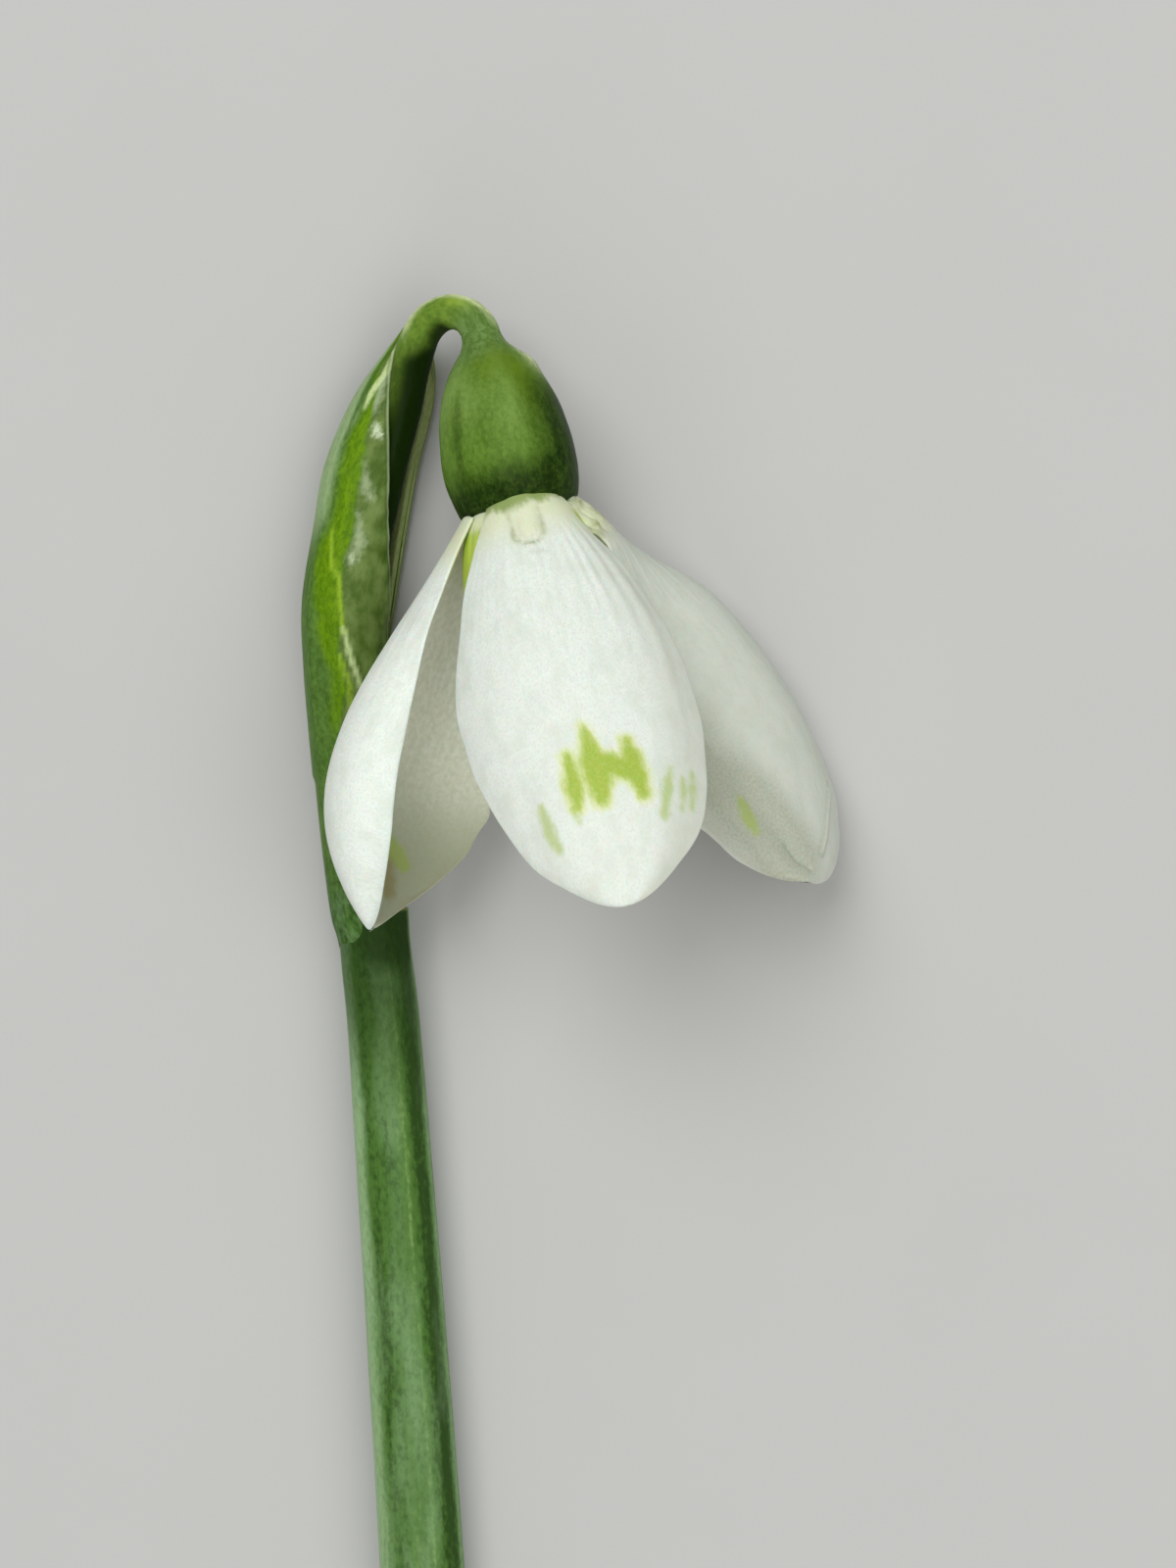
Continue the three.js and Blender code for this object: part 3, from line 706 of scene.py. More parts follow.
def stem_finish(colours):
    """Soft green bands down the stem, mottled with fine cells, under a pale bloom at its edges. The pale
    edges are partly painted highlight and sheen, the darker bands are partly painted shade, and painted
    shadow darkens the stem's top.
    """
    finish = Finish("stem_green", colours.stem_dark, GREEN_BODY)
    cells = finish.noise(3.4, 3.4, 2.0, 3.0, 0.65)
    streaks = finish.noise(1.8, 1.8, 0.14, 3.0, 0.55)
    drift = finish.noise(0.6, 0.6, 0.12, 2.0, 0.5)
    band_and_light = finish.sum(finish.amount("band_and_light"), finish.between(streaks, 0.25, 0.75, -0.14, 0.14))
    band_and_light = finish.math("ADD", band_and_light, finish.between(cells, 0.28, 0.72, -0.17, 0.17), clamp=True)
    # The pale bands are partly painted highlight, and the dark ones partly painted shade.
    finish.coat(finish.between(band_and_light, 0.0, 0.5), colours.stem)
    finish.coat(finish.between(band_and_light, 0.5, 1.0), colours.stem_pale)
    # Bloom, partly painted sheen along the stem's edges as seen from above.
    bloom_and_sheen = finish.sum(finish.amount("bloom_and_sheen"), finish.between(drift, 0.4, 0.7, -0.1, 0.15))
    finish.coat(finish.product(bloom_and_sheen, finish.between(cells, 0.25, 0.65, 0.65, 1.1)), colours.bloom_and_sheen)
    # Painted shadow of the flower over the stem's top, partly a deeper green of the stem's own.
    finish.coat(finish.amount("shade"), finish.mix(cells, colours.stem_deep_shadow, colours.stem_dark))
    finish.coat(finish.amount("cut"), finish.mix(cells, colours.cut, colours.stem_pale))
    finish.coat(finish.amount("collar"), colours.margin)
    finish.bump(finish.sum(finish.product(cells, 0.7), finish.product(streaks, 0.6)), STEM_BUMP)
    return finish.done(cells, 0.3, 0.7, 0.45, 0.6)


def sheath_finish(colours):
    """Green back under a pale bloom, vivid yellow-green flanks and a thin, blistered skin beside them. The
    bloom is partly painted sheen, whitish painted highlights lie on the blisters, and painted shade covers
    the inner face.
    """
    finish = Finish("sheath_green", colours.sheath, GREEN_BODY)
    cells = finish.noise(3.6, 1, 2.4, 3.0, 0.7)
    lines = finish.noise(2.4, 1, 0.5, 3.0, 0.6)
    patches = finish.noise(0.9, 1, 0.6, 3.0, 0.6)
    mottle = finish.blend(cells, 0.6, lines)
    finish.coat(finish.between(mottle, 0.37, 0.63), colours.sheath_light)
    # Pale bloom on the back, partly painted sheen along the keel as seen from above.
    finish.coat(finish.broken("bloom_and_sheen", mottle, 0.32, 0.58, 0.65, 1.0), colours.sheath_bloom_and_sheen)
    flank = finish.flecks(mottle, 0.38, 0.62, colours.flank, colours.flank_light)
    flank = finish.mix(finish.between(patches, 0.55, 0.7, 0.0, 0.4), flank, colours.sheath)
    finish.coat(finish.amount("flank"), flank)
    skin = finish.flecks(patches, 0.32, 0.68, colours.skin, colours.skin_pale)
    skin = finish.mix(finish.between(mottle, 0.56, 0.66, 0.0, 0.35), skin, colours.sheath)
    finish.coat(finish.amount("skin"), skin)
    finish.coat(finish.product(finish.amount("groove"), 0.8), colours.sheath)
    finish.coat(finish.broken("bright_line", mottle, 0.36, 0.56, 0.45, 1.0), colours.flank_line)
    # Pale lines, partly painted highlight.
    finish.coat(finish.broken("pale_line_and_highlight", mottle, 0.36, 0.56, 0.45, 1.0), colours.pale_line_and_highlight)
    ragged = finish.between(mottle, 0.35, 0.65, -0.16, 0.16)
    streak_highlight = finish.frayed("streak_highlight", ragged, -0.5, 0.25, 0.4)
    # Painted highlights on the blisters and streaks of the thin skin.
    finish.coat(finish.product(streak_highlight, finish.amount("skin")), colours.blister_highlight)
    finish.coat(finish.frayed("blister_highlight", ragged, -0.24, 0.2, 0.95), colours.blister_highlight)
    stem = finish.flecks(mottle, 0.36, 0.64, colours.stem_dark, colours.stem)
    stem = finish.mix(finish.between(patches, 0.4, 0.65, 0.0, 0.16), stem, colours.bloom_and_sheen)
    finish.coat(finish.amount("stem_like"), stem)
    finish.coat(finish.amount("seam"), colours.stem_dark)
    finish.coat(finish.amount("near_edge"), colours.near_edge)
    # Painted shade over the inner face, in the dark green of the shaded stalk.
    finish.coat(finish.amount("inside"), finish.mix(lines, colours.stalk_shade, colours.flank))
    edge = finish.flecks(mottle, 0.36, 0.62, colours.far_edge, colours.far_edge_light)
    finish.coat(finish.amount("far_edge"), edge)
    finish.bump(finish.sum(finish.product(cells, 0.6), finish.product(lines, 0.8)), SHEATH_BUMP)
    return finish.done(cells, 0.3, 0.7, 0.42, 0.58)


def stalk_finish(colours):
    """Painted shade, dark green, where the sheath shades it and under the bend; yellow-green over the bend
    with a pale outer edge, partly bloom and partly painted highlight.
    """
    finish = Finish("stalk_green", colours.stalk, GREEN_BODY)
    cells = finish.noise(3.6, 3.6, 2.4, 3.0, 0.65)
    patches = finish.noise(1.2, 1.2, 0.8, 3.0, 0.55)
    mottle = finish.blend(cells, 0.6, patches)
    finish.coat(finish.between(mottle, 0.28, 0.72), colours.stalk_light)
    finish.coat(finish.broken("sunny", mottle, 0.3, 0.7, 0.6, 1.0), colours.stalk_sunny)
    finish.coat(finish.amount("neck"), finish.flecks(mottle, 0.38, 0.62, colours.neck, colours.neck_light))
    # Painted shade on the stalk inside the sheath and under the bend.
    dark = finish.flecks(mottle, 0.35, 0.65, colours.stalk_shade, colours.ovary_shade)
    finish.coat(finish.amount("shade"), dark)
    # A pale outer edge, partly waxy bloom and partly painted highlight.
    finish.coat(finish.broken("crown_bloom_and_highlight", mottle, 0.36, 0.6, 0.5, 1.05), colours.edge_bloom_and_highlight)
    finish.bump(finish.sum(cells, finish.product(patches, 0.5)), STALK_BUMP)
    return finish.done(cells, 0.3, 0.7, 0.45, 0.6)


def ovary_finish(colours):
    """Mottled satin green: pale soft patches, partly painted highlight, an olive top, and painted shade
    towards the rim, down one side and along a furrow.
    """
    finish = Finish("ovary_green", colours.ovary_deep, GREEN_BODY)
    cells = finish.noise(3.6, 3.6, 2.6, 3.0, 0.7)
    patches = finish.noise(1.3, 1.3, 0.5, 3.0, 0.6)
    mottle = finish.blend(cells, 0.6, patches)
    finish.coat(finish.between(mottle, 0.34, 0.66), colours.ovary)
    finish.coat(finish.broken("olive", mottle, 0.32, 0.6, 0.5, 0.9), colours.olive)
    # Pale patches, partly bloom and partly painted highlight.
    finish.coat(finish.broken("cheek_bloom_and_light", mottle, 0.34, 0.64, 0.55, 1.0), colours.ovary_bloom_and_light)
    finish.coat(finish.amount("neck"), finish.flecks(mottle, 0.38, 0.62, colours.neck, colours.neck_light))
    # Painted shade towards the rim, down the right side and along the furrow.
    finish.coat(finish.broken("shade", mottle, 0.36, 0.66, 1.0, 0.75), colours.ovary_shade)
    # A pale edge on the right shoulder, partly bloom and partly painted highlight.
    finish.coat(finish.broken("edge", cells, 0.3, 0.6, 0.4, 1.0), colours.edge_bloom_and_highlight)
    finish.bump(finish.sum(finish.product(cells, 0.8), finish.product(patches, 0.6)), OVARY_BUMP)
    return finish.done(cells, 0.3, 0.7, 0.42, 0.56)


def grainy_finish(name, light, dark):
    """A fine-grained finish for the parts inside the flower."""
    finish = Finish(name, light, GRAINY_BODY)
    specks = finish.noise(9.0, 9.0, 6.0, 3.0, 0.6)
    both = finish.sum(specks, finish.noise(5.0, 5.0, 0.6, 2.0, 0.5))
    finish.coat(finish.between(both, 0.7, 1.3), dark)
    finish.bump(both, GRAINY_BUMP)
    return finish.done(specks, 0.3, 0.7, 0.5, 0.7)


def floor_finish(colours):
    """A matt pale surface with a trace of grain."""
    finish = Finish("pale_floor", colours.floor, FLOOR_BODY)
    place = finish.node("ShaderNodeTexCoord", {}, "Object")
    grain = finish.node("ShaderNodeTexNoise", {"Vector": place} | FLOOR_GRAIN, "Fac")
    finish.coat(grain, colours.floor_grain)
    return finish.done()


# ---- Petals -----------------------------------------------------------------------------------------
def along_petal(values, u):
    """A value that is given at the base, the middle and the tip of a petal."""
    base, middle, tip = values
    return np.where(u < 0.5, base + (middle - base) * ease(2 * u), middle + (tip - middle) * ease(2 * u - 1))


def petal_width(shape, u):
    """Half the width of a petal at each share of its length."""
    widest = shape["widest"]
    swell = np.sin(np.clip(u / widest, 0, 1) * np.pi / 2) ** shape["swell"]
    ending = np.clip((u - widest) / (1 - widest), 0, 1)
    lower = np.clip(1 - ending ** shape["tip"], 0, 1) ** shape["point"]
    return shape["half"] * np.where(u < widest, shape["base"] + (1 - shape["base"]) * swell, lower)


def blade_grain(across, along):
    """Where each point of a thin piece lies in its own grain: across, which face, and along."""
    outer = np.stack([across, 0 * across, along], axis=-1)
    return faces(outer, outer + (0, FACE_GAP, 0))


class Blade:
    """A petal's outer skin before its relief, its normals, and how far along and across each place is."""

    def __init__(self, shape, rows, places):
        s = np.linspace(0, 1, rows)
        u = EVEN_ROWS * s + (1 - EVEN_ROWS) * (0.5 - 0.5 * np.cos(np.pi * s))
        v = np.sin(np.linspace(-1, 1, places) * np.pi / 2)
        line, slope = bezier(shape["midrib"], u)
        azimuth = np.radians(shape["azimuth"] + shape["sway"] * u**2)
        outward = np.stack([np.sin(azimuth), 0 * u, np.cos(azimuth)], axis=-1)
        around = np.stack([np.cos(azimuth), 0 * u, -np.sin(azimuth)], axis=-1)
        axis = np.array([0, -1.0, 0])
        middle = outward * line[:, :1] + axis * line[:, 1:]
        direction = outward * slope[:, :1] + axis * slope[:, 1:]
        face = np.cross(direction, around)
        twist = np.radians(shape["twist"]) * ease(u / shape["twist_by"])[:, None]
        face, side = (
            face * np.cos(twist) + around * np.sin(twist),
            around * np.cos(twist) - face * np.sin(twist),
        )
        nub_width, nub_length = shape["nub"]
        middle = middle + direction * (nub_length * rise(u, NUB_START, 1))[:, None]
        ending = np.clip((u - NUB_ROUND) / (1 - NUB_ROUND), 0, NUB_CLOSING)
        nub = np.where(u > NUB_ROUND, nub_width * np.sqrt(1 - ending**2), 0)
        width = np.maximum(petal_width(shape, u), nub)
        lap = (1 - ease(u / LAP_REACH))[:, None] * (v < 0)
        width = width[:, None] * (1 + shape.get("lap", 0) * lap)
        for half, place, reach, amount in shape["swells"]:
            swell = amount * (bell(u, place, reach) * fall(u, SWELLS_END, 1))[:, None]
            width = width + swell * (v * half > 0)
        low, high = along_petal(shape["low"], u), along_petal(shape["high"], u)
        curl = np.where(v[None, :] > 0, high[:, None], low[:, None])
        curl = np.radians(curl + shape.get("lap_curl", 0) * lap)
        sideways = (np.sin(curl * v) / curl * width)[..., None]
        inward = ((1 - np.cos(curl * v)) / curl * width)[..., None]
        bend = (curl * v)[..., None]
        self.skin = middle[:, None] + side[:, None] * sideways - face[:, None] * inward
        self.normal = face[:, None] * np.cos(bend) + side[:, None] * np.sin(bend)
        steps = np.linalg.norm(np.diff(middle, axis=0), axis=-1)
        self.along = np.broadcast_to(np.append(0, np.cumsum(steps))[:, None] - shape["hidden"], curl.shape)
        self.across = width * v
        self.u = np.broadcast_to(u[:, None], curl.shape)
        self.v = np.broadcast_to(v, curl.shape)
        self.direction = direction

    def rings(self, relief, middle_wall, margin_wall):
        wall = middle_wall + (margin_wall - middle_wall) * self.v**2
        roundness = rounded(self.v, MARGIN_ROUNDING) * rounded(2 * self.u - 1, END_ROUNDING)
        return shell_rings(self.skin + self.normal * relief[..., None], self.normal, wall, roundness)

    def grain(self):
        return blade_grain(self.across, self.along)


def ridge_relief(ridges, u, v):
    """The heights of a petal's ridges, each fading in over a third of its length and out over the rest."""
    relief = 0 * u
    for place, half, height, start, stop in ridges:
        reach = (stop - start) / 3
        length = rise(u, start, start + reach) * fall(u, stop - 2 * reach, stop)
        relief = relief + height * bell(v, place, half) * length
    return relief


def petal_relief(blade, ridges, seed):
    """Ridges from the claw, faint waves over the blade and a slightly uneven margin."""
    u, v, along, across = blade.u, blade.v, blade.along, blade.across
    waves = WAVE_HEIGHT * lumps(across / WAVE_BREADTH + 20, along / WAVE_LENGTH, seed)
    fine = FINE_HEIGHT * lumps(across / FINE_BREADTH + 30, along / FINE_LENGTH, seed + 1)
    margin = MARGIN_HEIGHT * v**6 * lumps(along / MARGIN_LENGTH + 5 * np.sign(v), 0 * v, seed + 2)
    return ridge_relief(ridges, u, v) + (waves + fine + margin) * rise(u, 0, 0.15)


def petal_marks(blade, strokes, faint_strokes, inside_strokes=(), inside_stains=()):
    """What the finish needs to know about each point of a petal."""
    u, along, across = blade.u, blade.along, blade.across
    nothing, none = 0 * u, 0 * u + OUTSIDE
    chains = (strokes, faint_strokes, inside_strokes, inside_stains)
    mark, faint, through, stain = (stroke_depth(chain, along, across) for chain in chains)
    return {
        "grain": blade.grain(),
        "fan": both_faces(blade.v),
        "veined": faces(rise(u, 0.06, 0.2) * fall(u, 0.25, 0.6)),
        "inside": faces(nothing, 1.0),
        # Painted shade over the inner face, deepening towards the tip.
        "depth": both_faces(0.9 * rise(u, 0.32, 0.9)),
        "shade": both_faces(nothing),
        "mark": faces(mark, OUTSIDE),
        "faint": faces(faint, np.maximum(np.maximum(mark, faint) - SHOW_THROUGH, through)),
        "stain": faces(none, stain),
        "tint": both_faces(0.85 * fall(along, 0.8, 3.8)),
        "glow": both_faces(nothing),
        "rim": both_faces(nothing),
        "foot": both_faces(none),
    }


def build_front_petal(wall, margin, finish):
    """The nearest petal: a fan of ridges, a lump at its foot and the green mark near its tip."""
    blade = Blade(OUTER_PETALS["outer_tepal_front"], PETAL_ROWS, PETAL_PLACES)
    u, v, along, across = blade.u, blade.v, blade.along, blade.across
    lump_along, lump_across = LUMP_CENTRE
    apart = np.hypot(np.maximum(along - lump_along, 0), across - lump_across)
    lump = LUMP_HEIGHT * fall(apart, LUMP_RADIUS - 0.5, LUMP_RADIUS + 0.15)
    broken = 0.7 + 0.3 * lumps(along / 0.5 + 30, across / 0.5 + 30, RING_SEED)
    ring = bell(apart, RING_RADIUS, RING_WIDTH) * rise(along, -0.5, lump_along + 0.4)
    inner_ring = bell(apart, INNER_RING_RADIUS, INNER_RING_WIDTH) * rise(along, 1.0, lump_along)
    cross_line = bell(along, CROSS_LINE_PLACE, CROSS_LINE_WIDTH) * fall(np.abs(across), 0.1, 0.9)
    lines = (ring + 0.35 * inner_ring + 0.5 * cross_line) * broken
    edge = 0.3 + 0.36 * bell(across, -0.6, 0.9)
    edge = edge + 0.26 * lumps(across / 0.5 + 20, 0 * along, EDGE_SEED)
    around_lump = 0.75 * fall(apart, LUMP_RADIUS - 0.3, LUMP_RADIUS + 1.1) * fall(along, 2.4, 4.4)

    marks = petal_marks(blade, FRONT_STROKES, FRONT_FAINT_STROKES)
    marks["foot"] = faces(edge * fall(across, 1.3, 2.1) - along, OUTSIDE)
    # Painted shade down the right side, where the petal turns from the light, and towards the tip.
    marks["shade"] = faces(0.4 * rise(v, 0.42, 0.85) + 0.14 * rise(u, 0.5, 0.95))
    marks["rim"] = faces(0.75 * lines)
    marks["tint"] = np.maximum(marks["tint"], both_faces(around_lump))
    rings = blade.rings(petal_relief(blade, FRONT_RIDGES, FRONT_SEED) + lump, wall, margin)
    add_piece("front_petal", "outer_tepal_front", rings, FLOWER, marks, finish)


def build_left_petal(wall, margin, finish):
    """The petal that shows its inside, with a faint green mark and a stain there."""
    blade = Blade(OUTER_PETALS["outer_tepal_left"], PETAL_ROWS, PETAL_PLACES)
    marks = petal_marks(blade, [], [], LEFT_INSIDE_STROKES, LEFT_INSIDE_STAINS)
    rings = blade.rings(petal_relief(blade, PETAL_RIDGES, LEFT_SEED), wall, margin)
    add_piece("left_petal", "outer_tepal_left", rings, FLOWER, marks, finish)


def build_right_petal(wall, margin, finish):
    """The petal that turns on edge: a lumpy shoulder, and a valley, a fold and a lip near its tip."""
    blade = Blade(OUTER_PETALS["outer_tepal_right"], PETAL_ROWS, PETAL_PLACES)
    v, along, across = blade.v, blade.along, blade.across
    shoulder = fall(along, 1.4, 3.2) * fall(v, -0.5, -0.1)
    lumpy = lumps(across / 0.42 + 29, along / 0.5 + 20, SHOULDER_SEED)
    valley, fold, lip = (-stroke_depth(line, along, across) for line in (RIGHT_VALLEY, RIGHT_FOLD, RIGHT_LIP))
    relief = petal_relief(blade, PETAL_RIDGES, RIGHT_SEED) + SHOULDER_LUMPS * shoulder * lumpy
    relief = relief - VALLEY_DEPTH * bell(valley, 0, VALLEY_WIDTH) - FOLD_DEPTH * bell(fold, 0, FOLD_WIDTH)
    relief = relief + LIP_HEIGHT * bell(lip, 0, LIP_WIDTH)

    # Painted shade over the whole petal: deeper in the hollow and along the valley, in the fold and beside
    # the lip, and lighter at the margins.
    line = np.array(RIGHT_VALLEY[0])
    beyond = across - np.interp(along, line[:, 0], line[:, 1])
    hollow = fall(beyond, -0.35, 0.35) * rise(beyond, -7.0, -0.5) * rise(along, 12, 17)
    shade = 0.48 + 0.4 * hollow + 0.3 * fall(valley, 0.2, 2.6) + 0.6 * bell(fold, 0, FOLD_WIDTH)
    shade = shade + 0.35 * fall(valley, 0.6, 3.0) * rise(along, 17, 21)
    shade = shade + 0.35 * bell(lip, 0.22, 0.14) - 0.3 * rise(np.abs(v), 0.93, 0.99)

    marks = petal_marks(blade, [], RIGHT_FAINT_STROKES)
    marks["tint"] = np.maximum(marks["tint"], both_faces(0.9 * shoulder))
    marks["rim"] = both_faces(shoulder * np.clip(0.45 + 0.7 * lumpy, 0, 0.9))
    marks["shade"] = faces(np.clip(shade, 0, 1))
    rings = blade.rings(relief, wall, margin)
    add_piece("right_petal", "outer_tepal_right", rings, FLOWER, marks, finish)


def build_outer_petals(sizes, colours):
    finish = petal_finish("petal_white", colours, colours.claw)
    for build_petal in (build_front_petal, build_left_petal, build_right_petal):
        build_petal(sizes.petal_wall / MM, sizes.petal_margin / MM, finish)


def build_inner_petals(sizes, colours):
    """Three short petals with a notch at the tip, green at the claw and round the notch."""
    finish = petal_finish("inner_petal_white", colours, colours.inner_claw)
    wall, margin = sizes.petal_wall / MM, sizes.petal_margin / MM
    for number, azimuth in enumerate(INNER_AZIMUTHS, 1):
        blade = Blade(dict(INNER_PETAL, azimuth=azimuth), INNER_ROWS, INNER_PLACES)
        notch = NOTCH_DEPTH * bell(blade.v, 0, NOTCH_WIDTH) * rise(blade.u, 0.75, 1)
        blade.skin = blade.skin - blade.direction[:, None] * notch[..., None]
        blade.along = blade.along - notch
        waves = INNER_WAVE_HEIGHT * lumps(blade.across + 9, blade.along, INNER_SEED + number)
        rings = blade.rings(ridge_relief(PETAL_RIDGES, blade.u, blade.v) + waves, wall, margin)
        marks = petal_marks(blade, INNER_STROKES, [], INNER_STROKES)
        marks["tint"] = both_faces(fall(blade.along, 1.0, 6.5))
        marks["glow"] = both_faces(1.1 * bell(blade.along, 3.2, 2.2) * rise(blade.along, 0.2, 2.2))
        name, node = f"inner_petal_{number}", f"inner_tepal_{number}"
        add_piece(name, node, rings, FLOWER, marks, finish)


# ---- Stem, sheath, stalk and ovary ------------------------------------------------------------------
def round_piece(centre, radius, outward, along, turn):
    """Rings of a tube, and its grain: two ways across it and one along it, so it has no seam."""
    rings = centre + outward * radius[..., None]
    across, forward = radius * np.sin(turn), radius * np.cos(turn)
    grain = np.stack([across, forward, along + 0 * across], axis=-1)
    return rings, grain


def build_stem(sizes, colours):
    """The scape: a softly ribbed stem that ends in a plain cut."""
    form = tube(STEM_LINE, STEM_RADII, STEM_ROWS, STEM_PLACES, CUT_END, ROUND_END)
    centre, radius, outward, along, turn = form
    degrees, bands, blooms = np.array(STEM_BANDS, float).T
    band_and_light, bloom_and_sheen = (np.interp(np.degrees(turn), degrees, values) + 0 * radius for values in (bands, blooms))
    ribs = sizes.stem_rib / MM * (band_and_light - 0.5) * 2
    uneven = lumps(2.6 * np.sin(turn) + 20, along / 3.0 + 1.5 * np.cos(turn) + 20, STEM_SEED)
    wander = STEM_WANDER * (uneven - 1)
    body = rise(along, 0.8, 3.0) * fall(along, along[-1] - 3.0, along[-1] - 1.0)
    rings, grain = round_piece(centre, radius + (ribs + wander) * body, outward, along, turn)
    cut = fall(along + 0 * turn, CUT_REACH - CUT_FADE, CUT_REACH)
    height = centre[..., 1] + 0 * turn
    collar = bell(height, COLLAR_PLACE, COLLAR_WIDTH) * rise(turn, -0.2, 0.5)
    # Painted shadow of the flower over the stem's top, partly a darker tone of its own: deepest just below
    # the top on its right side, and fading out some 13 mm down.
    shadow_below_rim = 0.85 * rise(height, -4.2, -0.5) * rise(turn, -0.9, 0.3) + 0.7 * rise(height, -13, -4)
    shade = np.clip(shadow_below_rim, 0, 1) * fall(np.abs(turn), 1.2, 1.5)
    marks = {"grain": grain, "band_and_light": band_and_light, "bloom_and_sheen": bloom_and_sheen, "shade": shade, "cut": cut, "collar": collar}
    add_piece("stem", "scape", rings, LAY, marks, stem_finish(colours))


def build_sheath(colours):
    """The spathe: a folded leaf with a green back and a thin skin beside its open edge."""
    s = np.linspace(0, len(SHEATH_STATIONS) - 1, SHEATH_ROWS)
    y, keel, near, far, breadth = smooth_line(SHEATH_STATIONS, s).T[:, :, None]
    depth = np.maximum(near, far) / SHEATH_WRAP
    q = np.sin(np.linspace(-1, 1, SHEATH_PLACES) * np.pi / 2)
    last = np.arccos(np.clip(1 - near / depth, -1, 1))
    first = -np.arccos(np.clip(1 - far / depth, -1, 1))
    turn = first + (last - first) * (q + 1) / 2
    skin = np.stack([keel + depth - depth * np.cos(turn), y + 0 * turn, breadth * np.sin(turn)], axis=-1)
    normal = unit(np.stack([-breadth * np.cos(turn), 0 * turn, depth * np.sin(turn)], axis=-1))
    degrees = np.degrees(np.abs(turn))
    height = y + 0 * turn
    arc = np.cumsum(np.linalg.norm(np.diff(skin, axis=1, prepend=skin[:, :1]), axis=-1), axis=1)
    to_near, to_far = arc[:, -1:] - arc, arc
    droop = FAR_EDGE_DROOP * fall(to_far, -0.1, 0.9)
    skin[..., 2] -= droop * rise(height, 14, 18) * fall(height, 31, 33.5)
    wobble = FLANK_WOBBLE * lumps(height / 2.2 + 3, 0 * turn + 0.5, WOBBLE_SEED)
    wobble = wobble + FINE_FLANK_WOBBLE * lumps(height / 0.7, turn * 3 + 9, FINE_WOBBLE_SEED)
    at, starts, stops = np.array(SHEATH_FLANK, float).T
    start, stop = np.interp(height, at, starts), np.interp(height, at, stops)
    near_side = turn > 0
    thin_skin = rise(degrees + wobble, stop - 3, stop + 6) * rise(height, 7, 11)
    flank = rise(degrees + wobble, start - 8, start + 7) * (1 - thin_skin) * rise(height, 9.5, 12)
    # Pale bloom on the upper back and low along the keel, partly painted sheen at the sheath's edge as seen
    # from above.
    bloom_and_sheen = rise(height, 20.5, 24.5) * fall(degrees, start - 16, start)
    bloom_and_sheen = 0.9 * bloom_and_sheen + 0.35 * fall(degrees, 8, 26) * fall(height, 5, 22)
    round_keel = np.radians(degrees) * depth
    bright, pale, groove = (
        rise(stroke_depth(lines, height, round_keel), -0.14, 0.04) * near_side
        for lines in (SHEATH_BRIGHT_LINES, SHEATH_PALE_LINES, SHEATH_GROOVES)
    )
    blister_highlight, streak_highlight = (stroke_depth(lines, height, round_keel) for lines in (SHEATH_BLISTERS, SHEATH_STREAKS))
    swollen = BLISTER_HEIGHT * rise(blister_highlight, -0.2, 0.1) + STREAK_HEIGHT * rise(streak_highlight, -0.25, 0.1)
    crumple = CRUMPLE * lumps(height / 0.9 + 7, turn * 3 + 20, CRUMPLE_SEED)
    crumple = crumple + FINE_CRUMPLE * lumps(height / 0.4, turn * 6 + 20, FINE_CRUMPLE_SEED)
    relief = crumple * thin_skin + swollen + LINE_HEIGHT * (bright + pale) - GROOVE_DEPTH * groove
    flank_rib = FLANK_RIB * bell(degrees, FLANK_RIB_TURN, FLANK_RIB_WIDTH) * rise(height, 4, 12)
    keel_rib = KEEL_RIB * rise(height, 7.7, 8.2) * fall(height, 9, 16) * bell(turn, 0, KEEL_RIB_WIDTH)
    relief = relief * near_side + flank_rib + keel_rib
    wall = np.where(thin_skin > 0.5, SHEATH_SKIN_WALL, SHEATH_WALL) + 0 * turn
    rows = np.linspace(-1, 1, SHEATH_ROWS)[:, None]
    roundness = rounded(q[None, :], MARGIN_ROUNDING) * rounded(rows, END_ROUNDING)
    rings = shell_rings(skin + normal * relief[..., None], normal, wall, roundness)
    out_of_reach = OUTSIDE * (turn < 0)
    marks = {
        "grain": blade_grain(turn * depth, height),
        "skin": both_faces(thin_skin),
        "flank": both_faces(flank),
        "bright_line": faces(bright),
        "pale_line_and_highlight": faces(pale),
        "groove": faces(groove),
        "bloom_and_sheen": faces(bloom_and_sheen),
        "blister_highlight": faces(blister_highlight + out_of_reach, OUTSIDE),
        "streak_highlight": faces(streak_highlight + out_of_reach, OUTSIDE),
        "seam": faces(0.5 * bell(to_near, SEAM_PLACE, SEAM_WIDTH)),
        "near_edge": faces(0.7 * bell(to_near, EDGE_LINE_PLACE, EDGE_LINE_WIDTH)),
        "far_edge": faces(0.35 * fall(to_far, 0.1, 0.4), fall(to_far, 1.0, 1.6)),
        # Painted shade over the whole inner face, except where the far edge is coated over it.
        "inside": faces(0 * turn, 0.95),
        "stem_like": both_faces(fall(height, -0.5, 5)),
    }
    add_piece("sheath", "spathe", rings, LAY, marks, sheath_finish(colours))


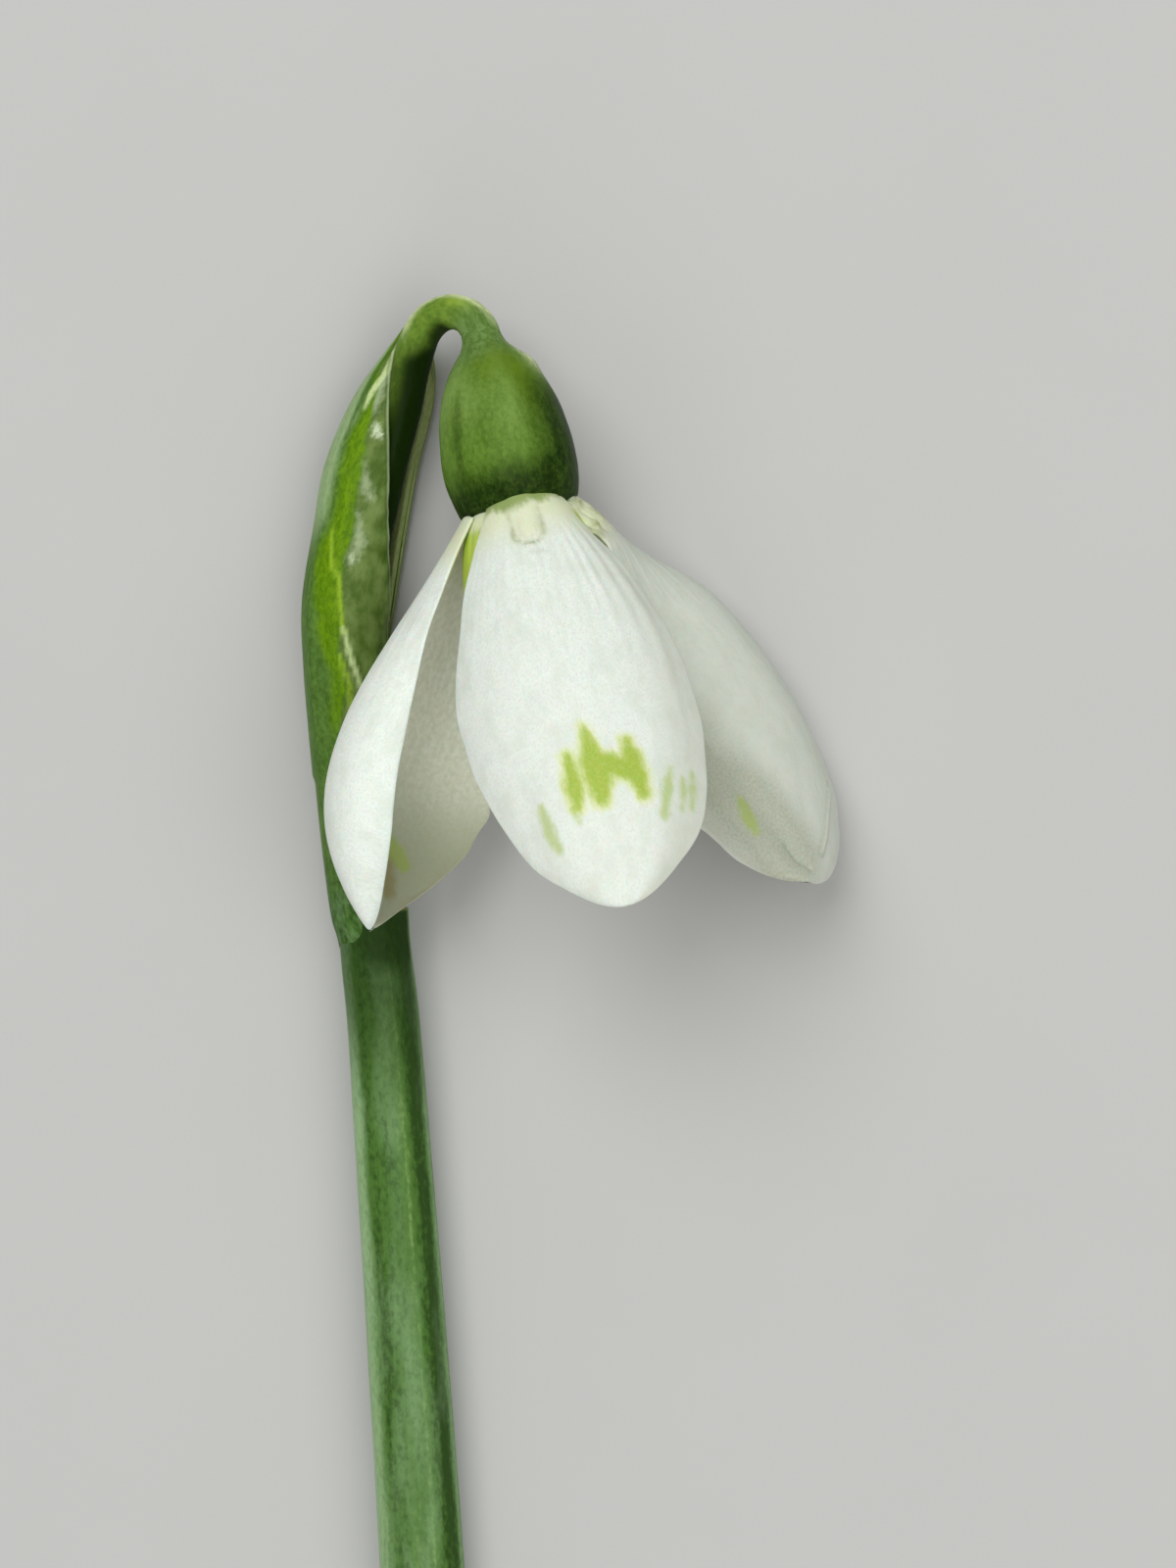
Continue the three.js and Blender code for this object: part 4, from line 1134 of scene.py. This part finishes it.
def build_stalk(colours):
    """The pedicel: from inside the sheath, over the bend and into the ovary's neck."""
    form = tube(STALK_LINE, STALK_RADII, STALK_ROWS, STALK_PLACES, ROUND_END, ROUND_END)
    centre, radius, outward, along, turn = form
    uneven = lumps(1.9 * np.sin(turn) + 20, along / 1.5 + 1.5 * np.cos(turn) + 20, STALK_SEED)
    wander = STALK_WANDER * uneven + STALK_RIDGE * np.cos(STALK_RIDGES * turn)
    rings, grain = round_piece(centre, radius + wander, outward, along, turn)
    away = unit((centre - np.array(BEND_CENTRE)) * (1, 1, 0))
    facing = (outward * away).sum(axis=-1)
    height, across = centre[..., 1] + 0 * facing, centre[..., 0] + 0 * facing
    leftward = fall(across, 3.4, 5.2)
    # The pale crown of the bend, partly waxy bloom and partly painted highlight on its outer side.
    crown_bloom_and_highlight = rise(facing, 0.6 - 0.25 * leftward, 0.95 - 0.05 * leftward) * rise(height, 33.3, 34.6)
    # Painted shade on the stalk inside the sheath, less on its outer side, and under the bend.
    dark_below = 33.5 - 0.9 * facing
    in_sheath = rise(dark_below - height, -0.9, 0.9) * fall(across, 3.7, 4.5)
    in_sheath = in_sheath * (1 - 0.45 * rise(facing, 0.1, 0.8))
    underneath = fall(facing, -0.95, -0.3) * fall(across, 4.6, 5.5)
    marks = {
        "grain": grain,
        "crown_bloom_and_highlight": crown_bloom_and_highlight,
        "sunny": rise(facing, -0.1, 0.6) * bell(across, 5.75, 0.75) * rise(height, 33.6, 34.5),
        "shade": np.maximum(in_sheath, 0.9 * underneath),
        "neck": rise(across, 4.9, 6.1) * fall(height, 34.2, 35.4),
    }
    add_piece("flower_stalk", "pedicel", rings, LAY, marks, stalk_finish(colours))


def patches(table, degrees, along):
    """Soft round patches on the ovary, laid over each other."""
    total = 0
    for turn, breadth, place, length, strength in table:
        total = total + strength * bell(degrees, turn, breadth) * bell(along, place, length)
    return total


def build_ovary(sizes, colours):
    """A pear-shaped ovary with soft ribs, ending in a rim over the petals."""
    t = np.linspace(0, len(OVARY_PROFILE) - 1, OVARY_ROWS)
    profile = smooth_line(OVARY_PROFILE, t)
    along, radius = profile[:, :1], np.maximum(profile[:, 1:], OVARY_LEAST_RADIUS)
    turn = places_round(OVARY_PLACES)
    side, front, degrees = np.sin(turn), np.cos(turn), np.degrees(turn)
    belly = rise(along, -9.2, -6) * fall(along, -1.5, 0.2)
    ribs = sizes.ovary_rib / MM * np.cos(OVARY_RIBS * turn + OVARY_RIB_TURN)
    dents = OVARY_DENTS * lumps(3.2 * side + 20, along / 2.0 + 1.9 * front + 40, DENTS_SEED)
    dents = dents + OVARY_FINE_DENTS * lumps(11 * side + 40, along / 0.6 + 7 * front + 40, FINE_DENTS_SEED)
    reach = radius + ribs * belly + dents * belly + patches(OVARY_BULGES, degrees, along)
    rings = np.stack([reach * side, -along + 0 * turn, reach * front], axis=-1)
    grain = np.stack([reach * side, reach * front, along + 0 * turn], axis=-1)
    # Painted shade towards the rim, down the right side away from the light, and along a furrow.
    lower = rise(along, -2.6, -0.3)
    right = rise(degrees, 12, 56) * fall(degrees, 120, 160) * rise(along, -8.0, -5)
    furrow_shade = bell(degrees, FURROW_TURN + FURROW_DRIFT * (along + 4), FURROW_WIDTH)
    furrow_shade = furrow_shade * rise(along, -7.2, -5.5) * fall(along, -2.2, -0.8)
    neck = fall(along, -9.3, -7.8) * (0.35 + 0.65 * fall(degrees, -25, 20)) + fall(along, -10, -9.3)
    marks = {
        "grain": grain,
        "cheek_bloom_and_light": np.clip(patches(OVARY_PALE_PATCHES, degrees, along), 0, 1),
        "olive": np.clip(patches(OVARY_OLIVE_PATCHES, degrees, along), 0, 1),
        "shade": np.clip(lower + 0.98 * right + 0.45 * furrow_shade, 0, 1),
        "neck": np.clip(neck, 0, 1),
        "edge": patches(OVARY_EDGE_PATCHES, degrees, along),
    }
    add_piece("ovary_pod", "ovary", rings, FLOWER, marks, ovary_finish(colours))


# ---- Inside the flower ------------------------------------------------------------------------------
def inner_line(azimuth, points):
    """Points at (distance along the flower's axis, distance out from it) on one side of the flower."""
    return [(out * math.sin(azimuth), -along, out * math.cos(azimuth)) for along, out in points]


def build_stamens(colours):
    """Six short filaments, each with a pointed anther of two lobes."""
    pale = grainy_finish("filament_cream", colours.filament, colours.petal_inside)
    gold = grainy_finish("anther_gold", colours.anther, colours.anther_dark)
    third = (ANTHER_END - FILAMENT_END) / 3
    filament = [
        (FILAMENT_START, STAMEN_CIRCLE), (FILAMENT_MIDDLE, STAMEN_CIRCLE + FILAMENT_BOW),
        (FILAMENT_END, STAMEN_CIRCLE),
    ]
    anther = [
        (FILAMENT_END - ANTHER_OVERLAP, STAMEN_CIRCLE), (FILAMENT_END + third, STAMEN_CIRCLE),
        (FILAMENT_END + 2 * third, STAMEN_CIRCLE - ANTHER_LEAN / 3),
        (ANTHER_END, STAMEN_CIRCLE - ANTHER_LEAN),
    ]
    for number in range(1, STAMEN_COUNT + 1):
        azimuth = math.radians(STAMEN_TURN + 360 * (number - 1) / STAMEN_COUNT)
        line = inner_line(azimuth, filament)
        form = tube(line, FILAMENT_RADII, FILAMENT_ROWS, FILAMENT_PLACES, ROUND_END, ROUND_END)
        rings, grain = round_piece(*form)
        name, node = f"filament_stalk_{number}", f"filament_{number}"
        add_piece(name, node, rings, FLOWER, {"grain": grain}, pale)

        line = inner_line(azimuth, anther)
        form = tube(line, ANTHER_RADII, ANTHER_ROWS, ANTHER_PLACES, ROUND_END, ROUND_END)
        centre, radius, outward, along, turn = form
        lobes = 1 + LOBE_SWELL * np.cos(2 * (turn - azimuth))
        lobes = lobes - LOBE_GROOVE * bell(np.cos(turn - azimuth), 0, LOBE_GROOVE_WIDTH)
        rings, grain = round_piece(centre, radius * lobes, outward, along, turn)
        name, node = f"pollen_anther_{number}", f"anther_{number}"
        add_piece(name, node, rings, FLOWER, {"grain": grain}, gold)


def build_style(colours):
    """The single style, longer than the anthers."""
    finish = grainy_finish("style_green", colours.style, colours.claw)
    line = inner_line(0, [(STYLE_START, 0), ((STYLE_START + STYLE_END) / 2, STYLE_BOW), (STYLE_END, 0)])
    rings, grain = round_piece(*tube(line, STYLE_RADII, STYLE_ROWS, STYLE_PLACES, ROUND_END, ROUND_END))
    add_piece("style_column", "style", rings, FLOWER, {"grain": grain}, finish)


# ---- Stage ------------------------------------------------------------------------------------------
# The camera's place, in the plant's own millimetres, and its sensor and lens.
CAMERA_PLACE = Vector((12.876, 7.656, 230.0))
SENSOR, LENS = 36.0, 89.2
CLIP_START, CLIP_END = 0.01, 10
# The floor's half breadth, in metres.
FLOOR_HALF = 1.5
AIR_COLOUR = (1.0, 1.0, 0.98, 1.0)
# Each light's name, its place and its breadth, in metres. All three face the origin.
LIGHTS = [
    ("key_light", (-0.14, 0.28, 0.6), 0.45),
    ("fill_light", (0.3, -0.1, 0.6), 0.6),
    ("back_light", (0.05, -0.6, 0.35), 0.5),
]


def add_light(name, place, size, power):
    light = bpy.data.lights.new(name, "AREA")
    light.shape, light.size, light.energy = "DISK", size, power
    lamp = bpy.data.objects.new(name, light)
    lamp.location = place
    lamp.rotation_euler = (-Vector(place)).to_track_quat("-Z", "Y").to_euler()
    bpy.context.scene.collection.objects.link(lamp)


def add_camera():
    data = bpy.data.cameras.new("studio_camera")
    data.sensor_fit = "VERTICAL"
    data.sensor_width = data.sensor_height = SENSOR
    data.lens = LENS
    data.clip_start, data.clip_end = CLIP_START, CLIP_END
    camera = bpy.data.objects.new("studio_camera", data)
    camera.matrix_world = Matrix.Translation(LAY @ CAMERA_PLACE) @ LAY.to_quaternion().to_matrix().to_4x4()
    bpy.context.scene.collection.objects.link(camera)
    bpy.context.scene.camera = camera


def build_stage(studio, colours):
    corners = [(x * FLOOR_HALF, y * FLOOR_HALF, 0) for x, y in [(-1, -1), (1, -1), (1, 1), (-1, 1)]]
    mesh = bpy.data.meshes.new("floor")
    mesh.from_pydata(corners, [], [(0, 1, 2, 3)])
    mesh.materials.append(floor_finish(colours))
    floor = bpy.data.objects.new("floor", mesh)
    bpy.context.scene.collection.objects.link(floor)
    for (name, place, size), power in zip(LIGHTS, [studio.key, studio.fill, studio.back]):
        add_light(name, place, size, power)
    world = bpy.data.worlds.new("studio_air")
    world.use_nodes = True
    air = world.node_tree.nodes["Background"]
    air.inputs["Color"].default_value = AIR_COLOUR
    air.inputs["Strength"].default_value = studio.air
    bpy.context.scene.world = world
    bpy.context.scene.view_settings.view_transform = "Standard"
    add_camera()


# ---- Settings ---------------------------------------------------------------------------------------
def length(name, description, millimetres):
    return FloatProperty(name=name, description=description, default=millimetres * MM, min=0.0, unit="LENGTH")


def paint(name, description, *values):
    return FloatVectorProperty(
        name=name, description=description, default=srgb(*values), min=0.0, max=1.0, subtype="COLOR"
    )


def wattage(name, description, watts):
    return FloatProperty(name=name, description=description, default=watts, unit="POWER")


class SnowdropSizes(bpy.types.PropertyGroup):
    """Sizes that change the plant's finer shape."""

    petal_wall: length("Petal thickness", "Thickness of an outer petal along its middle", 0.42)
    petal_margin: length("Petal margin", "Thickness of an outer petal near its margin", 0.2)
    stem_rib: length("Stem ribs", "Height of the soft ribs down the stem", 0.05)
    ovary_rib: length("Ovary ribs", "Height of the soft ribs on the ovary", 0.05)


class SnowdropColours(bpy.types.PropertyGroup):
    """Colours of the plant and of the floor."""

    petal: paint("Petal", "White of the petals", 235, 242, 234)
    petal_cell: paint("Petal cells", "Cooler white between a petal's cells", 226, 234, 226)
    petal_cloud: paint("Petal clouds", "Faint grey-green clouds and veins in the white", 214, 222, 210)
    # Painted shade in a petal's creases and where it turns from the light.
    petal_shade: paint("Petal shade", "Grey-green in the creases of a petal", 172, 177, 158)
    petal_inside: paint("Petal inside", "Duller white of a petal's inner face", 244, 246, 228)
    petal_lining: paint("Petal lining", "Faint streaks of a petal's inner face", 224, 227, 203)
    # Painted shade of the inner face towards the tip.
    petal_depth_shade: paint("Petal depth", "Greener white of the inner face towards the tip", 162, 168, 140)
    claw: paint("Claw", "Cream at the foot of the petals", 223, 229, 186)
    claw_line: paint("Claw line", "Green of the lumps at the foot of the petals", 130, 142, 92)
    inner_claw: paint("Inner claw", "Yellow-green at the foot of the inner petals", 186, 210, 78)
    foot_edge: paint("Foot edge", "Yellow-green line where a petal meets the ovary", 120, 146, 34)
    mark: paint("Mark", "Green mark near the tip of the petals", 168, 189, 70)
    mark_deep: paint("Deep mark", "Deeper cells inside the green mark", 160, 188, 70)
    mark_pale: paint("Pale mark", "Pale yellow halo of the green mark", 216, 226, 156)
    mark_faint: paint("Faint mark", "Faint green strokes beside the mark", 162, 186, 54)
    stain: paint("Stain", "Brownish stain inside the left petal's tip", 150, 142, 92)
    # Painted shadow of the flower, partly the stem's own deeper green.
    stem_deep_shadow: paint("Deep stem", "Deep green under the rim of the stem's top", 20, 40, 6)
    # The darkest and palest bands are partly painted shade and painted highlight.
    stem_dark: paint("Dark stem", "Darkest bands of the stem", 46, 74, 26)
    stem: paint("Stem", "Green of the stem", 76, 114, 48)
    stem_pale: paint("Pale stem", "Palest lines of the stem", 116, 148, 78)
    # Also the painted sheen along the stem's edges.
    bloom_and_sheen: paint("Bloom", "Grey-green waxy bloom", 156, 188, 142)
    cut: paint("Cut face", "Flesh at the cut end of the stem", 196, 208, 150)
    sheath: paint("Sheath", "Darker green of the sheath's back", 68, 100, 36)
    sheath_light: paint("Light sheath", "Lighter cells of the sheath's back", 94, 130, 56)
    # Partly painted sheen along the keel.
    sheath_bloom_and_sheen: paint("Sheath bloom", "Pale bloom on the sheath's back", 156, 182, 132)
    flank: paint("Sheath flank", "Yellow-green beside the sheath's thin skin", 78, 118, 0)
    flank_light: paint("Light flank", "Lighter cells of the yellow-green", 108, 146, 10)
    flank_line: paint("Flank line", "Bright line along the yellow-green", 144, 178, 44)
    # Partly painted highlight along raised lines.
    pale_line_and_highlight: paint("Pale line", "Cream lines along the sheath", 196, 214, 150)
    skin: paint("Thin skin", "Thin skin beside the sheath's opening", 74, 100, 34)
    skin_pale: paint("Pale thin skin", "Paler patches of the thin skin", 116, 138, 74)
    # Painted highlight where the thin skin catches the light.
    blister_highlight: paint("Blister", "Whitish blisters in the thin skin", 206, 220, 184)
    margin: paint("Sheath margin", "Dry pale rim of the sheath's foot", 150, 160, 96)
    near_edge: paint("Near edge", "Pale line along the sheath's near edge", 168, 186, 142)
    far_edge: paint("Far edge", "Dry skin along the sheath's far edge", 140, 158, 96)
    far_edge_light: paint("Light far edge", "Lighter flecks of the sheath's far edge", 168, 182, 122)
    stalk: paint("Flower stalk", "Green of the flower stalk", 84, 116, 36)
    stalk_light: paint("Light stalk", "Lighter cells of the flower stalk", 120, 152, 54)
    stalk_sunny: paint("Sunny stalk", "Yellow-green on top of the stalk's bend", 154, 182, 62)
    # Partly waxy bloom and partly painted highlight, here and on the ovary's right shoulder.
    edge_bloom_and_highlight: paint("Stalk edge", "Pale outer edge of the bend", 212, 224, 170)
    # Painted shade, also on the sheath's inner face.
    stalk_shade: paint("Shaded stalk", "Dark green of the stalk inside the sheath", 18, 38, 0)
    ovary: paint("Ovary", "Green of the ovary", 98, 132, 46)
    ovary_deep: paint("Deep ovary", "Darker cells of the ovary", 72, 106, 24)
    neck: paint("Neck", "Grey-green of the ovary's neck", 84, 116, 46)
    neck_light: paint("Light neck", "Lighter cells of the neck", 112, 142, 78)
    # Partly painted highlight on the side that faces the light.
    ovary_bloom_and_light: paint("Ovary bloom", "Bloom on the ovary's near cheek", 122, 154, 74)
    # Painted shade towards the ovary's rim and down its right side.
    ovary_shade: paint("Dark ovary", "Dark green towards the ovary's rim", 19, 40, 0)
    olive: paint("Olive", "Olive green on the ovary's shoulder", 96, 124, 16)
    filament: paint("Filament", "Greenish white of the filaments", 226, 230, 204)
    anther: paint("Anther", "Golden yellow of the anthers", 226, 160, 48)
    anther_dark: paint("Anther shade", "Deeper gold between the anther's grains", 184, 112, 26)
    style: paint("Style", "Pale green of the style", 206, 220, 160)
    floor: paint("Floor", "Pale surface that the plant lies on", 192, 192, 190)
    floor_grain: paint("Floor grain", "Slightly darker grain of the surface", 188, 188, 186)


class SnowdropStudio(bpy.types.PropertyGroup):
    """Strength of the lights."""

    key: wattage("Key light", "Soft light from the upper left", 2.3)
    fill: wattage("Fill light", "Wide light from the right", 1.5)
    back: wattage("Back light", "Soft light from the stem's end", 0.7)
    air: FloatProperty(name="Air", description="Strength of the even light all round", default=0.38)


# ---- Operators --------------------------------------------------------------------------------------
def settings(context):
    return context.scene.snowdrop_sizes, context.scene.snowdrop_colours


class SNOWDROP_OT_stem(bpy.types.Operator):
    """Build the cut stem"""

    bl_idname = "snowdrop.stem"
    bl_label = "Stem"

    def execute(self, context):
        build_stem(*settings(context))
        return {"FINISHED"}


class SNOWDROP_OT_sheath(bpy.types.Operator):
    """Build the sheath that stands beside the flower stalk"""

    bl_idname = "snowdrop.sheath"
    bl_label = "Sheath"

    def execute(self, context):
        build_sheath(context.scene.snowdrop_colours)
        return {"FINISHED"}


class SNOWDROP_OT_stalk(bpy.types.Operator):
    """Build the hooked flower stalk"""

    bl_idname = "snowdrop.stalk"
    bl_label = "Flower stalk"

    def execute(self, context):
        build_stalk(context.scene.snowdrop_colours)
        return {"FINISHED"}


class SNOWDROP_OT_ovary(bpy.types.Operator):
    """Build the green ovary"""

    bl_idname = "snowdrop.ovary"
    bl_label = "Ovary"

    def execute(self, context):
        build_ovary(*settings(context))
        return {"FINISHED"}


class SNOWDROP_OT_outer_petals(bpy.types.Operator):
    """Build the three long outer petals"""

    bl_idname = "snowdrop.outer_petals"
    bl_label = "Outer petals"

    def execute(self, context):
        build_outer_petals(*settings(context))
        return {"FINISHED"}


class SNOWDROP_OT_inner_petals(bpy.types.Operator):
    """Build the three short inner petals"""

    bl_idname = "snowdrop.inner_petals"
    bl_label = "Inner petals"

    def execute(self, context):
        build_inner_petals(*settings(context))
        return {"FINISHED"}


class SNOWDROP_OT_stamens(bpy.types.Operator):
    """Build the six stamens"""

    bl_idname = "snowdrop.stamens"
    bl_label = "Stamens"

    def execute(self, context):
        build_stamens(context.scene.snowdrop_colours)
        return {"FINISHED"}


class SNOWDROP_OT_style(bpy.types.Operator):
    """Build the style"""

    bl_idname = "snowdrop.style"
    bl_label = "Style"

    def execute(self, context):
        build_style(context.scene.snowdrop_colours)
        return {"FINISHED"}


class SNOWDROP_OT_stage(bpy.types.Operator):
    """Build the floor, the lights and the camera"""

    bl_idname = "snowdrop.stage"
    bl_label = "Stage"

    def execute(self, context):
        build_stage(context.scene.snowdrop_studio, context.scene.snowdrop_colours)
        return {"FINISHED"}


OPERATORS = (
    SNOWDROP_OT_stem,
    SNOWDROP_OT_sheath,
    SNOWDROP_OT_stalk,
    SNOWDROP_OT_ovary,
    SNOWDROP_OT_outer_petals,
    SNOWDROP_OT_inner_petals,
    SNOWDROP_OT_stamens,
    SNOWDROP_OT_style,
    SNOWDROP_OT_stage,
)


class SNOWDROP_PT_panel(bpy.types.Panel):
    """Lists the plant's pieces, sizes and colours"""

    bl_idname = "SNOWDROP_PT_panel"
    bl_label = "Snowdrop"
    bl_space_type = "VIEW_3D"
    bl_region_type = "UI"
    bl_category = "Snowdrop"

    def draw(self, context):
        for operator in OPERATORS:
            self.layout.operator(operator.bl_idname)
        for group in (*settings(context), context.scene.snowdrop_studio):
            for key in group.__annotations__:
                self.layout.prop(group, key)


GROUPS = {
    "snowdrop_sizes": SnowdropSizes,
    "snowdrop_colours": SnowdropColours,
    "snowdrop_studio": SnowdropStudio,
}


def register():
    for cls in (*GROUPS.values(), *OPERATORS, SNOWDROP_PT_panel):
        bpy.utils.register_class(cls)
    for name, group in GROUPS.items():
        setattr(bpy.types.Scene, name, PointerProperty(type=group))


def unregister():
    for name in GROUPS:
        delattr(bpy.types.Scene, name)
    for cls in (SNOWDROP_PT_panel, *reversed(OPERATORS), *GROUPS.values()):
        bpy.utils.unregister_class(cls)


def main():
    register()
    for operator in OPERATORS:
        group, name = operator.bl_idname.split(".")
        getattr(getattr(bpy.ops, group), name)()


if __name__ == "__main__":
    main()
